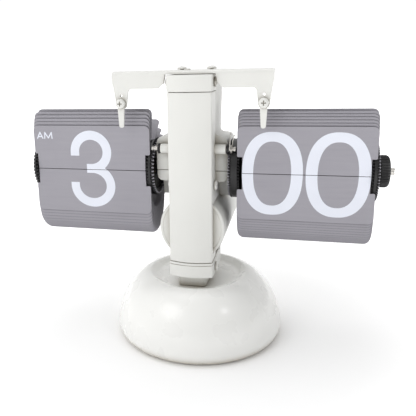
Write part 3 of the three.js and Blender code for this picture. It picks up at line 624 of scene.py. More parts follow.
# ---- base
def make_base():
    low, high = extent("base_shell")
    widest, rim_z, foot_z = high[0], high[2], low[2]
    foot_radius, widest_z = 47.6, 6.8
    rim_radius, dish_radius, dish_z = 30.0, 24.5, rim_z - 2.4
    power, wall, bore = 1.7, 2.5, 4.0

    def dome(inset, steps):
        centre = (rim_radius - inset, widest_z)
        return oval(centre, (widest - rim_radius, rim_z - inset - widest_z), 0, 90, steps, power)

    rolled_foot = oval((foot_radius, widest_z), (widest - foot_radius, widest_z - foot_z), -90, 0, 8)
    rim = [(rim_radius - 0.5, rim_z - 0.06), (rim_radius - 1.1, rim_z - 0.3)]
    slope = [(dish_radius + out, dish_z + up) for out, up in ((1.6, 0.62), (0.6, 0.2), (-1, 0))]
    outer = rolled_foot[:-1] + dome(0, 44) + rim + slope + [(bore, dish_z)]
    under = [(dish_radius - 1.5, dish_z - wall), (bore, dish_z - wall)]
    inner = [(foot_radius - wall, foot_z)] + dome(wall, 16) + under
    profile = outer + inner[::-1]
    shell = turned(profile + profile[:1], "Z", segments=144)
    piece(shell, "base_dome", "white_gloss", stands_for=["base_shell"], sharp=50)

    low, high = extent("base_pad")
    pad = turned([
        (0, low[2]), (high[0] - 0.5, low[2]), (high[0], low[2] + 0.4), (high[0], high[2]), (0, high[2]),
    ], "Z", segments=96)
    piece(pad, "base_foam_pad", "pad_rubber", stands_for=["base_pad"])
    keep_shape(
        ("base_bottom_plate", "base_plate", "black_plastic", 0.2),
        ("base_weight", "base_ballast", "cast_weight", 0.6),
        ("base_bolt", "base_tie_bolt", "steel", 0.3),
        ("neck_post", "neck", "white_satin", 0.4),
    )


# ---- column
def column_plan(inset, back_y):
    """Plan of the column: flat sides, small round corners and a bowed front face."""
    half = COLUMN_HIGH[0] - inset
    nose_y = COLUMN_LOW[1] + inset
    corner_y = nose_y + 2.3
    corner = 1.2
    face_y = corner_y - 0.2
    return [
        (half, back_y), (-half, back_y),
        *bow((-half, corner_y + corner), (-half, corner_y), (-half + corner, face_y), 5),
        *bow((-half + corner, face_y), (0, 2 * nose_y - face_y), (half - corner, face_y), 28),
        *bow((half - corner, face_y), (half, corner_y), (half, corner_y + corner), 5),
        (half, corner_y + corner),
    ]


def side_hole(y, z, radius, reach=40):
    return rod("X", radius, -reach, reach, (0, y, z))


def screw_place(node):
    """Middle of a screw node across its own axis."""
    low, high = extent(node)
    return [(a + b) / 2 for a, b in zip(low, high)]


def make_column():
    wall = 1.8
    back_y, bottom, top = COLUMN_HIGH[1], COLUMN_LOW[2], COLUMN_HIGH[2]
    barrel_low, barrel_high = extent("battery_barrel")
    barrel_z = (barrel_low[2] + barrel_high[2]) / 2
    barrel_room_radius = barrel_high[0] + 0.3
    tube = screw_place("cross_tube")

    def barrel_room():
        return rod("Y", barrel_room_radius, barrel_low[1] - 0.3, 80, (0, 0, barrel_z), segments=120)

    def screw_hole(level):
        place = screw_place(f"side_screw_{level}_right")
        return side_hole(place[1], place[2], SCREW_HOLE)

    front = prism(column_plan(0, back_y), "XY", bottom, top)
    inside = prism(column_plan(wall, back_y + 5), "XY", bottom - 5, top + 5)
    front = combined(front, [inside, barrel_room(), side_hole(tube[1], tube[2], 3.0), screw_hole("middle")])
    piece(front, "column_front", "white_satin", stands_for=["column_front_shell"], bevel=0.25)

    low, high = extent("column_top_cap")
    proud = COLUMN_LOW[0] - low[0]
    cap = prism(column_plan(-proud, high[1]), "XY", low[2], high[2])
    room = prism(column_plan(2.2, high[1] - 2), "XY", low[2] - 1, high[2] - 2)
    piece(
        combined(cap, [room, screw_hole("top")]), "column_cap_top", "white_satin",
        stands_for=["column_top_cap"], bevel=0.5, steps=3,
    )

    low, high = extent("column_bottom_cap")
    neck_low, neck_high = extent("neck_post")
    cap = prism(column_plan(-proud, high[1]), "XY", low[2], high[2])
    room = prism(column_plan(2.2, high[1] - 1.8), "XY", low[2] + 2, high[2] + 5)
    play = 0.4
    neck_room = block(
        (neck_low[0] - play, neck_high[0] + play), (neck_low[1] - play, neck_high[1] + play),
        (low[2] - 5, low[2] + 8),
    )
    groove_z = high[2] - 1.6
    groove = combined(
        prism(column_plan(-proud - 1, high[1] + 1), "XY", groove_z, groove_z + 0.35),
        [prism(column_plan(-proud + 0.3, high[1] - 0.3), "XY", groove_z - 1, groove_z + 1.4)],
    )
    piece(
        combined(cap, [room, neck_room, barrel_room(), screw_hole("bottom"), groove]), "column_cap_bottom",
        "white_satin", stands_for=["column_bottom_cap"], bevel=0.3, steps=2,
    )


# ---- screws
HEAD_HEIGHT = 1.7
SCREW_HOLE = 1.5  # radius of the holes that screws go through


def screw(shank_length, domed):
    """A cross-recess screw along +X from its seat."""
    head_radius, shank_radius = 2.75, 1.1
    profile = [(0, -shank_length), (0.5, -shank_length), (shank_radius, -shank_length + 0.7)]
    pitch = 0.5
    for k in range(int((shank_length - 1.2) / pitch)):
        start = -shank_length + 0.7 + k * pitch
        profile += [(shank_radius, start + pitch * 0.5), (shank_radius - 0.2, start + pitch * 0.75)]
    profile += [(shank_radius, -0.2), (shank_radius, 0), (head_radius - 0.15, 0), (head_radius, 0.15)]
    rim = 0.35 if domed else 0.55
    for k in range(9):
        angle = k / 8 * math.pi / 2
        reach = math.cos(angle) if domed else math.cos(angle) ** 0.7
        radius = head_radius * reach if k < 8 else 0
        profile.append((radius, rim + (HEAD_HEIGHT - rim) * math.sin(angle)))
    body = turned(profile, "X", segments=40)
    cuts = []
    for turn in (0, math.pi / 2):
        cut = prism([
            (HEAD_HEIGHT - 1, -0.22), (HEAD_HEIGHT - 1, 0.22),
            (HEAD_HEIGHT + 1, 0.36), (HEAD_HEIGHT + 1, -0.36),
        ], "XY", -1.35, 1.35)
        cuts.append(turned_over(cut, Matrix.Rotation(turn, 4, "X")))
    return combined(body, cuts)


DIRECTIONS = {
    "+X": Matrix.Identity(4),
    "-X": Matrix.Rotation(math.pi, 4, "Z"),
    "-Y": Matrix.Rotation(-math.pi / 2, 4, "Z"),
    "+Z": Matrix.Rotation(-math.pi / 2, 4, "Y"),
}


def put_screw(node, name, direction, domed=False):
    """A fine screw in the place of the CAD one; its seat is at the end of the CAD shank."""
    axis = "XYZ".index(direction[1])
    sign = 1 if direction[0] == "+" else -1
    low, high = extent(node)
    shank_length = high[axis] - low[axis] - HEAD_HEIGHT
    seat = screw_place(node)
    seat[axis] = (low[axis] if sign > 0 else high[axis]) + sign * shank_length
    made = turned_over(screw(shank_length, domed), Matrix.Translation(seat) @ DIRECTIONS[direction])
    piece(made, name, "white_metal", stands_for=[node], sharp=30)


def make_screws():
    for side, outward in (("left", "-X"), ("right", "+X")):
        for level in ("top", "middle", "bottom"):
            put_screw(f"side_screw_{level}_{side}", f"column_screw_{level}_{side}", outward)
        put_screw(f"beam_screw_{side}", f"bracket_screw_{side}", "+Z", domed=True)
        put_screw(f"finger_screw_{side}", f"tip_screw_{side}", "-Y")


# ---- rear shell, housing, battery
def make_housing():
    keep_shape(
        ("column_rear_shell", "rear_shell", "white_satin", 0.5),
        ("movement_housing", "gear_case", "white_satin", 0.5),
    )


def make_battery():
    low, high = extent("battery_barrel")
    radius = high[0]
    centre = (0, 0, (low[2] + high[2]) / 2)
    bore, floor_y = radius - 1.6, low[1] + 1.8
    barrel = turned([
        (0, low[1]), (radius - 2.4, low[1]), (radius - 2.2, low[1] + 0.15), (radius - 1.9, low[1] + 0.15),
        (radius - 1.7, low[1]), (radius - 0.9, low[1]), (radius - 0.27, low[1] + 0.27),
        (radius, low[1] + 0.9), (radius, high[1] - 0.2), (radius - 0.2, high[1]),
        (bore, high[1]), (bore, floor_y), (0, floor_y),
    ], "Y", centre, segments=120)
    piece(barrel, "battery_tube", "white_satin", stands_for=["battery_barrel"], sharp=30)

    low, high = extent("battery_cap")
    disc_back = high[1] - 2.2
    disc = turned([
        (0, low[1]), (radius - 0.2, low[1]), (radius, low[1] + 0.2), (radius, disc_back - 0.9, 1),
        (radius - 0.3, disc_back - 0.3, 1), (radius - 1, disc_back), (15.4, disc_back),
        (15.1, disc_back - 0.25), (14.7, disc_back - 0.25), (14.4, disc_back), (0, disc_back),
    ], "Y", centre, segments=180, ripple=lambda angle: -0.18 * (math.cos(angle * 60) > 0.2))
    grip_length, grip_half, grip_round = 13, 1.8, 1.7
    grip_corners = ((-1, -1), (1, -1), (1, 1), (-1, 1))
    grip_plan = [(across * grip_length, up * grip_half, grip_round) for across, up in grip_corners]
    grip = prism(rounded(grip_plan), "XZ", disc_back - 0.6, high[1])
    turned_over(grip, Matrix.Translation((0, 0, centre[2])))
    cap = combined(disc, [grip], "UNION")
    piece(cap, "battery_twist_cap", "white_satin", "battery_door", ["battery_cap"], bevel=0.2, sharp=42)

    low, high = extent("battery_cell")
    cell_radius, cell_front, cell_back = high[0], low[1], high[1]
    cell = turned([
        (0, cell_front), (4.3, cell_front), (4.7, cell_front + 0.4), (4.7, cell_front + 1.5),
        (7, cell_front + 1.7), (cell_radius - 1.6, cell_front + 1.7),
        (cell_radius - 1.2, cell_front + 2.1), (cell_radius - 0.7, cell_front + 1.8),
        (cell_radius, cell_front + 2.5), (cell_radius, cell_back - 0.8),
        (cell_radius - 0.7, cell_back), (cell_radius - 1.4, cell_back - 0.3), (0, cell_back - 0.3),
    ], "Y", centre, segments=96)
    piece(cell, "large_cell", "cell_jacket", stands_for=["battery_cell"], sharp=30)
    keep_shape(("contact_plate", "front_contact", "brass", 0.1))

    low, high = extent("contact_spring")
    turns, steps = 3, 96
    path = []
    for k in range(steps + 1):
        t = k / steps
        coil, angle = 9 - 5 * t, 2 * math.pi * turns * t
        along = high[1] - 0.45 - (high[1] - low[1] - 0.9) * t
        path.append((coil * math.cos(angle), along, centre[2] + coil * math.sin(angle)))
    piece(wire(path, 0.42, 10), "cap_spring", "steel", "battery_door", ["contact_spring"])


# ---- beam, fingers, cross tube
def mirrored(corners):
    """The corners of an outline's other half, in the order that closes it."""
    return [(-across, *rest) for across, *rest in reversed(corners)]


def make_beam():
    low, high = extent("beam_bracket")
    sheet = 2.0
    half, front_y, web_back_y = high[0], low[1], high[1]
    top_z = extent("beam_screw_right")[1][2] - HEAD_HEIGHT - 0.3
    screw_x = screw_place("beam_screw_right")[0]
    finger_x, _, finger_z = screw_place("finger_screw_right")
    arm_bottom = 150.4
    web_bottom = top_z - sheet

    fold = prism(rounded([
        (web_back_y, top_z), (front_y, top_z, 2.6), (front_y, 100), (front_y + sheet, 100),
        (front_y + sheet, web_bottom, 0.6), (web_back_y, web_bottom),
    ], 8), "YZ", -half, half)

    boss = 3.1
    boss_bottom = finger_z - boss
    right_leg = [
        (14.0, web_bottom), (14.8, arm_bottom + 3, 1.5), (18, arm_bottom, 1), (35.2, arm_bottom, 2),
        (finger_x - boss, finger_z, 3), (finger_x - boss, boss_bottom, 2.7),
        (finger_x + boss, boss_bottom, 2.7), (finger_x + boss, finger_z, 3),
        (half, arm_bottom + 4, 2), (half, top_z, 0.8),
    ]
    front = prism(rounded(right_leg + mirrored(right_leg), 7), "XZ", -100, 100)
    right_plan = [(half, -100), (half, -8, 2), (22, -8, 3), (15, web_back_y, 2)]
    plan = prism(rounded(right_plan + mirrored(right_plan), 7), "XY", 100, 200)
    holes = []
    for sign in SIDES.values():
        holes.append(rod("Z", SCREW_HOLE, top_z - 10, top_z + 10, (sign * screw_x, 0, 0)))
        holes.append(rod("Y", SCREW_HOLE, -60, 60, (sign * finger_x, 0, finger_z)))
        holes.append(rod("Y", 0.7, -60, 60, (sign * finger_x, 0, finger_z + 4.3)))
    bracket = combined(combined(fold, [front, plan], "INTERSECT"), holes)
    piece(bracket, "bracket", "white_metal", stands_for=["beam_bracket"], bevel=0.35, steps=3)
    rivet = turned([
        (0, top_z - 1), (1.6, top_z - 1), (1.6, top_z + 0.35), (1.4, top_z + 0.65), (0.9, top_z + 0.85),
        (0, top_z + 0.9),
    ], "Z", (-2.5, -14, 0), 40)
    piece(rivet, "bracket_rivet", "white_metal")

    for side, sign in SIDES.items():
        node = f"finger_{side}"
        low, high = extent(node)
        x = sign * finger_x
        blade = prism(rounded([
            (x - 2.1, finger_z), (x - 1.3, low[2], 1.25), (x + 1.3, low[2], 1.25), (x + 2.1, finger_z),
        ], 8), "XZ", low[1], high[1])
        eyelet = rod("Y", 2.6, low[1], high[1], (x, 0, finger_z))
        hole = rod("Y", SCREW_HOLE, -60, 60, (x, 0, finger_z))
        blade = combined(combined(blade, [eyelet], "UNION"), [hole])
        piece(blade, f"holding_finger_{side}", "white_metal", stands_for=[node], bevel=0.22, steps=2)


def make_cross_tube():
    low, high = extent("cross_tube")
    centre = screw_place("cross_tube")
    axis = (0, centre[1], centre[2])
    bore = 1.7
    tube = hoop("X", bore, high[2] - centre[2], low[0], high[0], axis, 0.3)
    piece(tube, "spacer_tube", "white_metal", stands_for=["cross_tube"])
    low, high = extent("cross_rod")
    rod_radius = high[2] - centre[2]
    grooved = []
    groove = ((0, 0), (0.3, 0.1), (0.3, 0.6), (0, 0.7))
    for x in (low[0] + 1.2, high[0] - 1.9):
        grooved += [(rod_radius - sunk, x + along) for sunk, along in groove]
    pin = turned([
        (0, low[0]), (rod_radius - 0.3, low[0]), (rod_radius, low[0] + 0.3), *grooved,
        (rod_radius, high[0] - 0.3), (rod_radius - 0.3, high[0]), (0, high[0]),
    ], "X", axis, 40)
    piece(pin, "spacer_pin", "steel", stands_for=["cross_rod"])
    for side in SIDES:
        node = f"cross_washer_{side}"
        low, high = extent(node)
        washer = hoop("X", bore, high[2] - centre[2], low[0], high[0], axis, 0.25)
        piece(washer, f"spacer_washer_{side}", "black_plastic", stands_for=[node])

    start_x = extent("cross_washer_right")[1][0] + 0.5
    coil_radius, turns, pitch, steps = 2.1, 2.25, 0.62, 20
    path = [(start_x + 0.6, axis[1] - 1.2, axis[2] + 9.5), (start_x + 0.2, axis[1] - 1.9, axis[2] + 4)]
    for k in range(int(turns * steps) + 1):
        angle = math.pi - 2 * math.pi * k / steps
        across, up = coil_radius * math.cos(angle), coil_radius * math.sin(angle)
        path.append((start_x + pitch * k / steps, axis[1] + across, axis[2] + up))
    end_x = start_x + pitch * turns
    path += [(end_x + 0.3, axis[1] - 1.5, axis[2] + 5), (end_x + 1.4, axis[1] - 1.6, axis[2] + 8.5)]
    piece(wire(path, 0.3), "pin_spring", "steel")


# ---- drums
WHEEL_PINS = {"minute": 60, "hour": 48}
DRUM_SIDE = {"minute": 1, "hour": -1}


SHAFT_BORE = 2.7  # radius of the hole in what turns on a shaft


def on_wheel(radius, angle):
    """Y and Z of a point round the drums' axis."""
    return radius * math.cos(angle), AXIS_Z + radius * math.sin(angle)


def outwards(drum, node):
    """How far from the clock's middle a drum's node starts and ends, on either side."""
    low, high = extent(node)
    return (low[0], high[0]) if DRUM_SIDE[drum] > 0 else (-high[0], -low[0])


def cog(count, tip, root):
    """Outline of rounded teeth, each between two pins; a pin is centred in each gap."""
    flank = (tip + root) / 2 + 0.1
    levels = (root, flank, tip, flank) * count
    return [on_wheel(level, 2 * math.pi * i / len(levels)) for i, level in enumerate(levels)]


def make_wheel(drum, place):
    """A wheel: a hub, a thin web with two ridges on one face, and a rim with teeth along both edges."""
    node = f"{drum}_wheel_{place}"
    low, high = extent(node)
    near, far = low[0], high[0]
    hub_radius, rim_inner, rim_outer = 5.2, 13.6, 15.0
    middle, half_web, ridge = (near + far) / 2, 0.7, 0.25
    web_near, web_far = middle - half_web, middle + half_web
    profile = [
        (SHAFT_BORE, near), (hub_radius - 0.4, near), (hub_radius, near + 0.3), (hub_radius, web_near),
    ]
    for radius in (8.2, 11):
        profile += [
            (radius - 0.4, web_near), (radius - 0.2, web_near - ridge),
            (radius + 0.2, web_near - ridge), (radius + 0.4, web_near),
        ]
    profile += [
        (rim_inner, web_near), (rim_inner, near + 0.2), (rim_inner + 0.2, near), (rim_outer, near),
        (rim_outer, far), (rim_inner + 0.2, far), (rim_inner, far - 0.2), (rim_inner, web_far),
        (hub_radius, web_far), (hub_radius, far - 0.3), (hub_radius - 0.4, far),
        (SHAFT_BORE, far), (SHAFT_BORE, near),
    ]
    disc = turned(profile, "X", (0, 0, AXIS_Z), 96)

    tooth_width, tooth_height, tooth_foot = 1.1, 1.1, rim_outer - 0.1
    teeth = cog(WHEEL_PINS[drum], WHEEL_RADIUS, WHEEL_RADIUS - tooth_height)
    inner = [on_wheel(tooth_foot, 2 * math.pi * i / len(teeth)) for i in range(len(teeth))]
    crowns = [band(teeth, inner, "YZ", start, start + tooth_width) for start in (near, far - tooth_width)]
    smooth_near, smooth_far = near + tooth_width, far - tooth_width
    rim = turned([
        (WHEEL_RADIUS, smooth_near), (WHEEL_RADIUS, smooth_far), (tooth_foot, smooth_far),
        (tooth_foot, smooth_near), (WHEEL_RADIUS, smooth_near),
    ], "X", (0, 0, AXIS_Z), 120)
    wheel = gathered(disc, rim, *crowns)
    piece(wheel, f"{drum}_rim_{place}", "black_plastic", f"{drum}_drum", [node], sharp=30)


def make_pins(drum):
    """The ends of the leaves' hinge pins on each side of a drum, flush on the hour drum's outer side."""
    side = DRUM_SIDE[drum]
    near = outwards(drum, f"{drum}_wheel_inner")[0]
    far = outwards(drum, f"{drum}_wheel_outer")[1]
    pin_radius, sunk, near_proud = 0.5, 0.8, 0.9
    far_proud = 0.5 if side > 0 else 0.0
    pins = []
    for i in range(WHEEL_PINS[drum]):
        y, z = on_wheel(HINGE_RADIUS + 0.6, 2 * math.pi * i / WHEEL_PINS[drum])
        for ends in ((near - near_proud, near + sunk), (far - sunk, far + far_proud)):
            low, high = sorted(side * end for end in ends)
            pins.append(rod("X", pin_radius, low, high, (0, y, z), 0.15, 10))
    piece(gathered(*pins), f"{drum}_hinge_pins", "leaf_grey", f"{drum}_drum", sharp=50)


def make_knob():
    low, high = extent("setting_knob")
    radius = high[1]
    near, far = low[0], high[0]
    ribs = 36

    def rib(angle):
        return -0.55 * (0.5 - 0.5 * math.cos(angle * ribs)) ** 0.7

    profile = [
        (SHAFT_BORE, near), (radius - 0.6, near), (radius - 0.1, near + 0.3, 1), (radius, near + 0.8, 1),
        (radius, far - 2.2, 1), (radius - 0.25, far - 1.5, 1), (radius - 1.0, far - 0.7, 0.4),
        (radius - 1.5, far - 0.5), (6.2, far - 0.25), (5.8, far - 0.6), (4.4, far - 0.6), (4.0, far),
        (SHAFT_BORE, far), (SHAFT_BORE, near),
    ]
    knob = turned(profile, "X", (0, 0, AXIS_Z), ribs * 8, rib)
    piece(knob, "knob", "black_plastic", "minute_drum", ["setting_knob"], sharp=36)


def make_drums():
    for drum in DRUM_SIDE:
        make_wheel(drum, "inner")
        make_wheel(drum, "outer")
        make_pins(drum)
        low, high = extent(f"{drum}_hub")
        hub = hoop("X", SHAFT_BORE, high[1], low[0], high[0], (0, 0, AXIS_Z), 0.3)
        piece(hub, f"{drum}_core", "black_plastic", f"{drum}_drum", [f"{drum}_hub"])
        keep_shape((f"{drum}_shaft", f"{drum}_axle", "steel", 0.12, f"{drum}_drum"))
    make_knob()


# ---- movement
def make_movement():
    keep_shape(
        ("minute_gear", "minute_spur_gear", "gear_white", 0.05, "minute_drum"),
        ("hour_gear", "hour_spur_gear", "gear_white", 0.05, "hour_drum"),
        ("idler_gear", "idler", "gear_white", 0.05, "idler"),
        ("motor_pinion", "drive_pinion", "brass", 0.05, "motor_output"),
        ("drive_motor", "gear_motor", "steel", 0.5),
        ("circuit_board", "circuit", "board_green", 0.1),
        ("shaft_bush_left", "bush_left", "brass", 0.15),
        ("shaft_bush_right", "bush_right", "brass", 0.15),
    )


# ---- leaves
LEAF_SHEET = 0.28  # thickness of a leaf in the packs
SHOWN_SHEET = 0.5  # thickness of the two leaves in front, which is less than in the frame
LEAF_STEP = {"minute": 6.0, "hour": 7.5}  # degrees between hinge pins
WAITING_END = 39.0  # hinge angle, up from the front, of the last leaf that stands upright

# how far a leaf leans (90 upright, 180 back, 270 hanging) against its hinge's angle round the drum
LEANS = (
    (0, 90), (15, 90), (30, 91), (39, 100), (45, 141), (52.5, 160), (60, 172), (65, 176), (75, 190),
    (90, 208), (120, 238), (150, 258), (180, 268), (210, 270), (360, 270),
)


def lean_at(angle):
    for (start, low), (end, high) in zip(LEANS, LEANS[1:]):
        if angle <= end:
            return low + (high - low) * (angle - start) / (end - start)
    return LEANS[-1][1]


def leaf_outline(drum):
    """A leaf flat in X and length from its hinge line, notched at both ends for the wheels."""
    inner_x, outer_x = outwards(drum, f"{drum}_leaf_upper")
    inner_notch, outer_notch = 28, outwards(drum, f"{drum}_wheel_outer")[0] - 0.35
    notch, gap = 9.2, LEAF_LOW[2] - AXIS_Z
    corners = [
        (inner_notch, gap, 0.3), (outer_notch, gap, 0.3), (outer_notch, notch), (outer_x, notch, 0.8),
        (outer_x, LEAF_LENGTH, 3), (inner_x, LEAF_LENGTH, 3), (inner_x, notch, 0.8), (inner_notch, notch),
    ]
    return [(DRUM_SIDE[drum] * x, z) for x, z in rounded(corners, 5)]


def leaned_leaf(drum, hinge, lean):
    """A thin leaf from a hinge point (y, z), leaning by an angle in degrees."""
    leaf = prism(leaf_outline(drum), "XZ", 0, LEAF_SHEET)
    tilt = Matrix.Rotation(-math.radians(lean - 90), 4, "X")
    return turned_over(leaf, Matrix.Translation((0, hinge[0], hinge[1])) @ tilt)


def make_packs(drum):
    """The leaves behind the shown two: the ones that wait upright, and all the others."""
    step = LEAF_STEP[drum]
    first_y = extent(f"{drum}_leaves_waiting")[0][1]
    leaf_pitch = LEAF_SHEET + 0.12
    waiting, fallen = [], []
    count = round(360 / step)
    for i in range(1, count):
        angle = i * step
        around = math.radians(angle)
        lean = lean_at(angle)
        y = -HINGE_RADIUS * math.cos(around)
        z = AXIS_Z + HINGE_RADIUS * math.sin(around)
        from_front = min(i, count - i)
        if angle <= WAITING_END or angle > 270:
            y = max(y, first_y + (from_front - 1) * leaf_pitch)
        (waiting if angle <= WAITING_END else fallen).append(leaned_leaf(drum, (y, z), lean))
    piece(gathered(*waiting), f"{drum}_waiting_leaves", "leaf_grey", stands_for=[f"{drum}_leaves_waiting"])
    piece(gathered(*fallen), f"{drum}_fallen_leaves", "leaf_grey", stands_for=[f"{drum}_leaves_fallen"])


def make_shown_leaves(drum):
    for half, sign, body in (("upper", 1, f"{drum}_flip_leaf"), ("lower", -1, "root")):
        points = [(x, AXIS_Z + sign * z) for x, z in leaf_outline(drum)]
        leaf = prism(points, "XZ", LEAF_FRONT_Y, LEAF_FRONT_Y + SHOWN_SHEET)
        piece(leaf, f"{drum}_shown_{half}", "leaf_grey", body, [f"{drum}_leaf_{half}"], bevel=0.1)


# ---- numerals
INK = 0.04  # thickness of the print
HALF_DAY_PLACE = (-96.0, AXIS_Z + 18.2, 4.3)  # left end, foot and height of the half-day letters


def digit_zero(x, width, bottom, top):
    """Outer and inner outlines of a zero."""
    centre = (x, (bottom + top) / 2)
    radii = (width / 2, (top - bottom) / 2)
    side_stroke, top_stroke, squareness = 6.2, 5.3, 2.35
    inner_radii = (radii[0] - side_stroke, radii[1] - top_stroke)
    return tuple(oval(centre, size, 0, 360, 96, squareness)[:-1] for size in (radii, inner_radii))


def digit_three(x, bottom, top):
    """Three outlines that overlap: a smaller open bowl over a larger one, and the bar between them."""
    stroke_width = 5.45
    bar_top = bottom + 26.5
    bar_bottom = bar_top - stroke_width
    upper = (x - 0.4, (top + bar_bottom) / 2)
    lower = (x, (bar_top + bottom) / 2)
    upper_radii = (12.9, (top - bar_bottom) / 2)
    lower_radii = (14.1, (bar_top - bottom) / 2)
    upper_inner = (upper_radii[0] - stroke_width, upper_radii[1] - stroke_width)
    lower_inner = (lower_radii[0] - stroke_width, lower_radii[1] - stroke_width)
    upper_end, lower_end = upper[1] - 2.4, lower[1] + 1.9
    upper_bowl = [
        (upper[0] - upper_radii[0], upper_end),
        *oval(upper, upper_radii, 180, -90, 48),
        *oval(upper, upper_inner, -90, 180, 44),
        (upper[0] - upper_inner[0], upper_end),
    ]
    lower_bowl = [
        *oval(lower, lower_radii, 90, -180, 48),
        (lower[0] - lower_radii[0], lower_end), (lower[0] - lower_inner[0], lower_end),
        *oval(lower, lower_inner, -180, 90, 44),
    ]
    bar_left, bar_right = x - 3.4, x + 1
    bar = [(bar_left, bar_bottom), (bar_right, bar_bottom), (bar_right, bar_top), (bar_left, bar_top)]
    return [upper_bowl, lower_bowl, bar]


def digit_one(x, bottom, top):
    stem_left, stem_right, flag_x = x - 1, x + 5.2, x - 7.5
    return [[
        (stem_left, bottom), (stem_right, bottom), (stem_right, top), (x + 0.6, top),
        (flag_x, top - 7.6), (flag_x, top - 13.4), (stem_left, top - 8.2),
    ]]


def ink(outlines, keep, y):
    """Printed shapes cut at the split between the leaves, INK thick, with their back on the plane at y.
    An outline is a pair of loops round a hole, or a list of loops that are joined."""
    gap, reach = LEAF_LOW[2] - AXIS_Z, 60
    span = (AXIS_Z + gap, AXIS_Z + reach) if keep == "upper" else (AXIS_Z - reach, AXIS_Z - gap)
    prints = []
    for outline in outlines:
        if isinstance(outline, tuple):
            shape = band(*outline, "XZ", y - INK, y)
        else:
            first, *rest = [prism(loop, "XZ", y - INK, y) for loop in outline]
            shape = combined(first, rest, "UNION")
        prints.append(combined(shape, [block((-130, 130), (y - 1, y + 1), span)], "INTERSECT"))
    return gathered(*prints)


def stroke(start, end, width, y):
    """A letter's straight stroke with rounded ends, as a thin solid on the plane at y."""
    a, b = Vector(start), Vector(end)
    along = (b - a).normalized()
    turn = math.atan2(along.y, along.x)
    points = []
    for centre, first in ((b, -90), (a, 90)):
        for k in range(9):
            angle = turn + math.radians(first + 180 * k / 8)
            points.append(tuple(centre + Vector((math.cos(angle), math.sin(angle))) * width / 2))
    return prism(points, "XZ", y - INK, y)


def half_day_mark(x, z, height, y):
    """The letters AM, drawn as strokes and joined."""
    width = 0.72
    base, top = z + width / 2, z + height - width / 2
    a_mid, a_half = x + 2.1, 1.75
    bar_z = z + height * 0.32
    a_strokes = [
        ((a_mid - a_half, base), (a_mid, top)), ((a_mid, top), (a_mid + a_half, base)),
        ((a_mid - 1.15, bar_z), (a_mid + 1.15, bar_z)),
    ]
    m_left, m_right = x + 5.1, x + 9.9
    m_mid = (m_left + m_right) / 2
    m_strokes = [
        ((m_left, base), (m_left + 0.25, top)), ((m_left + 0.25, top), (m_mid, base + 0.2)),
        ((m_mid, base + 0.2), (m_right - 0.25, top)), ((m_right - 0.25, top), (m_right, base)),
    ]
    letters = []
    for strokes in (a_strokes, m_strokes):
        first, *rest = [stroke(start, end, width, y) for start, end in strokes]
        letters.append(combined(first, rest, "UNION"))
    return gathered(*letters)


def make_numerals():
    bottom, top = AXIS_Z - 23.1, AXIS_Z + 23.4
    width = 33.3
    hour_x, tens_x, units_x = -61.2, 44.3, 78.8
    three = digit_three(hour_x, bottom, top)
    left_zero = digit_zero(tens_x, width - 0.5, bottom, top)
    right_zero = digit_zero(units_x, width, bottom, top)
    shown = {"hour": [three], "minute": [left_zero, right_zero]}
    following = {"hour": [three], "minute": [left_zero, digit_one(units_x, bottom, top)]}
    front = LEAF_FRONT_Y
    turn_over = (
        Matrix.Translation((0, FLIP_Y, AXIS_Z)) @ Matrix.Rotation(math.pi, 4, "X")
        @ Matrix.Translation((0, -FLIP_Y, -AXIS_Z))
    )
    flipped_front = 2 * FLIP_Y - (front + SHOWN_SHEET)
    for drum, outlines in shown.items():
        piece(ink(outlines, "upper", front), f"{drum}_print_upper", "numeral_white", f"{drum}_flip_leaf")
        piece(ink(outlines, "lower", front), f"{drum}_print_lower", "numeral_white")
        back = turned_over(ink(following[drum], "lower", flipped_front), turn_over)
        piece(back, f"{drum}_print_back", "numeral_white", f"{drum}_flip_leaf")
        rise = HINGE_RADIUS * math.sin(math.radians(LEAF_STEP[drum]))
        waiting_y = extent(f"{drum}_leaves_waiting")[0][1]
        following_upper = ink(following[drum], "upper", waiting_y)
        if drum == "hour":
            following_upper = gathered(following_upper, half_day_mark(*HALF_DAY_PLACE, waiting_y))
        turned_over(following_upper, Matrix.Translation((0, 0, rise)))
        piece(following_upper, f"{drum}_print_waiting", "numeral_white")
    mark = half_day_mark(*HALF_DAY_PLACE, front)
    piece(mark, "hour_print_half_day", "numeral_white", "hour_flip_leaf")


# ---- stage, light, camera
def make_floor():
    size = 4000
    floor = solid([(-size, -size, 0), (size, -size, 0), (size, size, 0), (-size, size, 0)], [(0, 1, 2, 3)])
    floor.name = "floor"
    floor.data.materials.append(LOOKS["floor_white"])


def area_light(name, place, aim, size, power):
    data = bpy.data.lights.new(name, "AREA")
    data.shape = "DISK"
    data.size = size
    data.energy = power
    lamp = bpy.data.objects.new(name, data)
    lamp.location = place
    lamp.rotation_euler = (Vector(aim) - Vector(place)).to_track_quat("-Z", "Y").to_euler()
    bpy.context.scene.collection.objects.link(lamp)


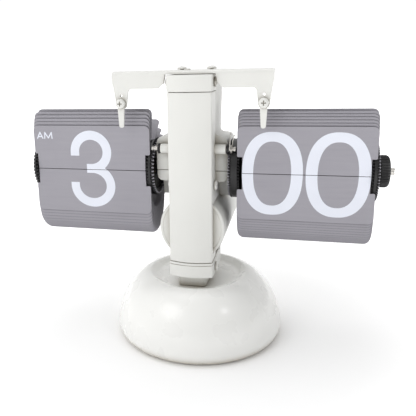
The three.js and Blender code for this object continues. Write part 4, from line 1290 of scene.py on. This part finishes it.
def make_world():
    """White surroundings, greyer towards the front right, over a white band at the horizon."""
    world = bpy.data.worlds.new("studio")
    world.use_nodes = True
    tree = world.node_tree
    nodes, links = tree.nodes, tree.links
    background = nodes["Background"].inputs
    background["Color"].default_value = WHITE
    place = nodes.new("ShaderNodeTexCoord").outputs["Generated"]

    towards = nodes.new("ShaderNodeVectorMath")
    towards.operation = "DOT_PRODUCT"
    towards.inputs[1].default_value = Vector((-1, 0.8, 0.3)).normalized()
    links.new(place, towards.inputs[0])
    strength = map_range(tree, towards.outputs["Value"], 0.12, 1.05, -0.95, 0.3, "SMOOTHSTEP")

    height = nodes.new("ShaderNodeSeparateXYZ")
    links.new(place, height.inputs["Vector"])
    horizon = map_range(tree, height.outputs["Z"], 1.0, 0.0, 0.06, 0.3, "SMOOTHSTEP")

    brighter = nodes.new("ShaderNodeMath")
    brighter.operation = "MAXIMUM"
    links.new(strength, brighter.inputs[0])
    links.new(horizon, brighter.inputs[1])
    links.new(brighter.outputs["Value"], background["Strength"])
    bpy.context.scene.world = world


def make_light():
    make_world()
    middle = (0, 0, 0.09)
    area_light("key", (-0.4, -0.5, 0.55), middle, 0.4, 0.9)
    area_light("glint", (0.55, -0.37, 0.62), (0, 0, 0.05), 0.12, 0.4)
    area_light("top", (-0.1, 0.1, 1.2), middle, 0.8, 2.2)
    bpy.context.scene.view_settings.view_transform = "Standard"


def make_camera():
    data = bpy.data.cameras.new("camera")
    data.lens = 44.77
    data.shift_x = 0.1154
    data.shift_y = -0.0457
    camera = bpy.data.objects.new("camera", data)
    place = (0.05527, -0.30062, 0.16347)
    turn, tilt, roll = math.radians(14.726), math.radians(-13.548), math.radians(-1.498)
    camera.matrix_world = (
        Matrix.Translation(place) @ Matrix.Rotation(turn, 4, "Z")
        @ Matrix.Rotation(math.pi / 2 + tilt, 4, "X") @ Matrix.Rotation(roll, 4, "Z")
    )
    bpy.context.scene.collection.objects.link(camera)
    bpy.context.scene.camera = camera


make_camera()
make_floor()
make_light()
make_base()
make_column()
make_screws()
make_housing()
make_battery()
make_beam()
make_cross_tube()
make_drums()
make_movement()
for drum_name in DRUM_SIDE:
    make_packs(drum_name)
    make_shown_leaves(drum_name)
make_numerals()
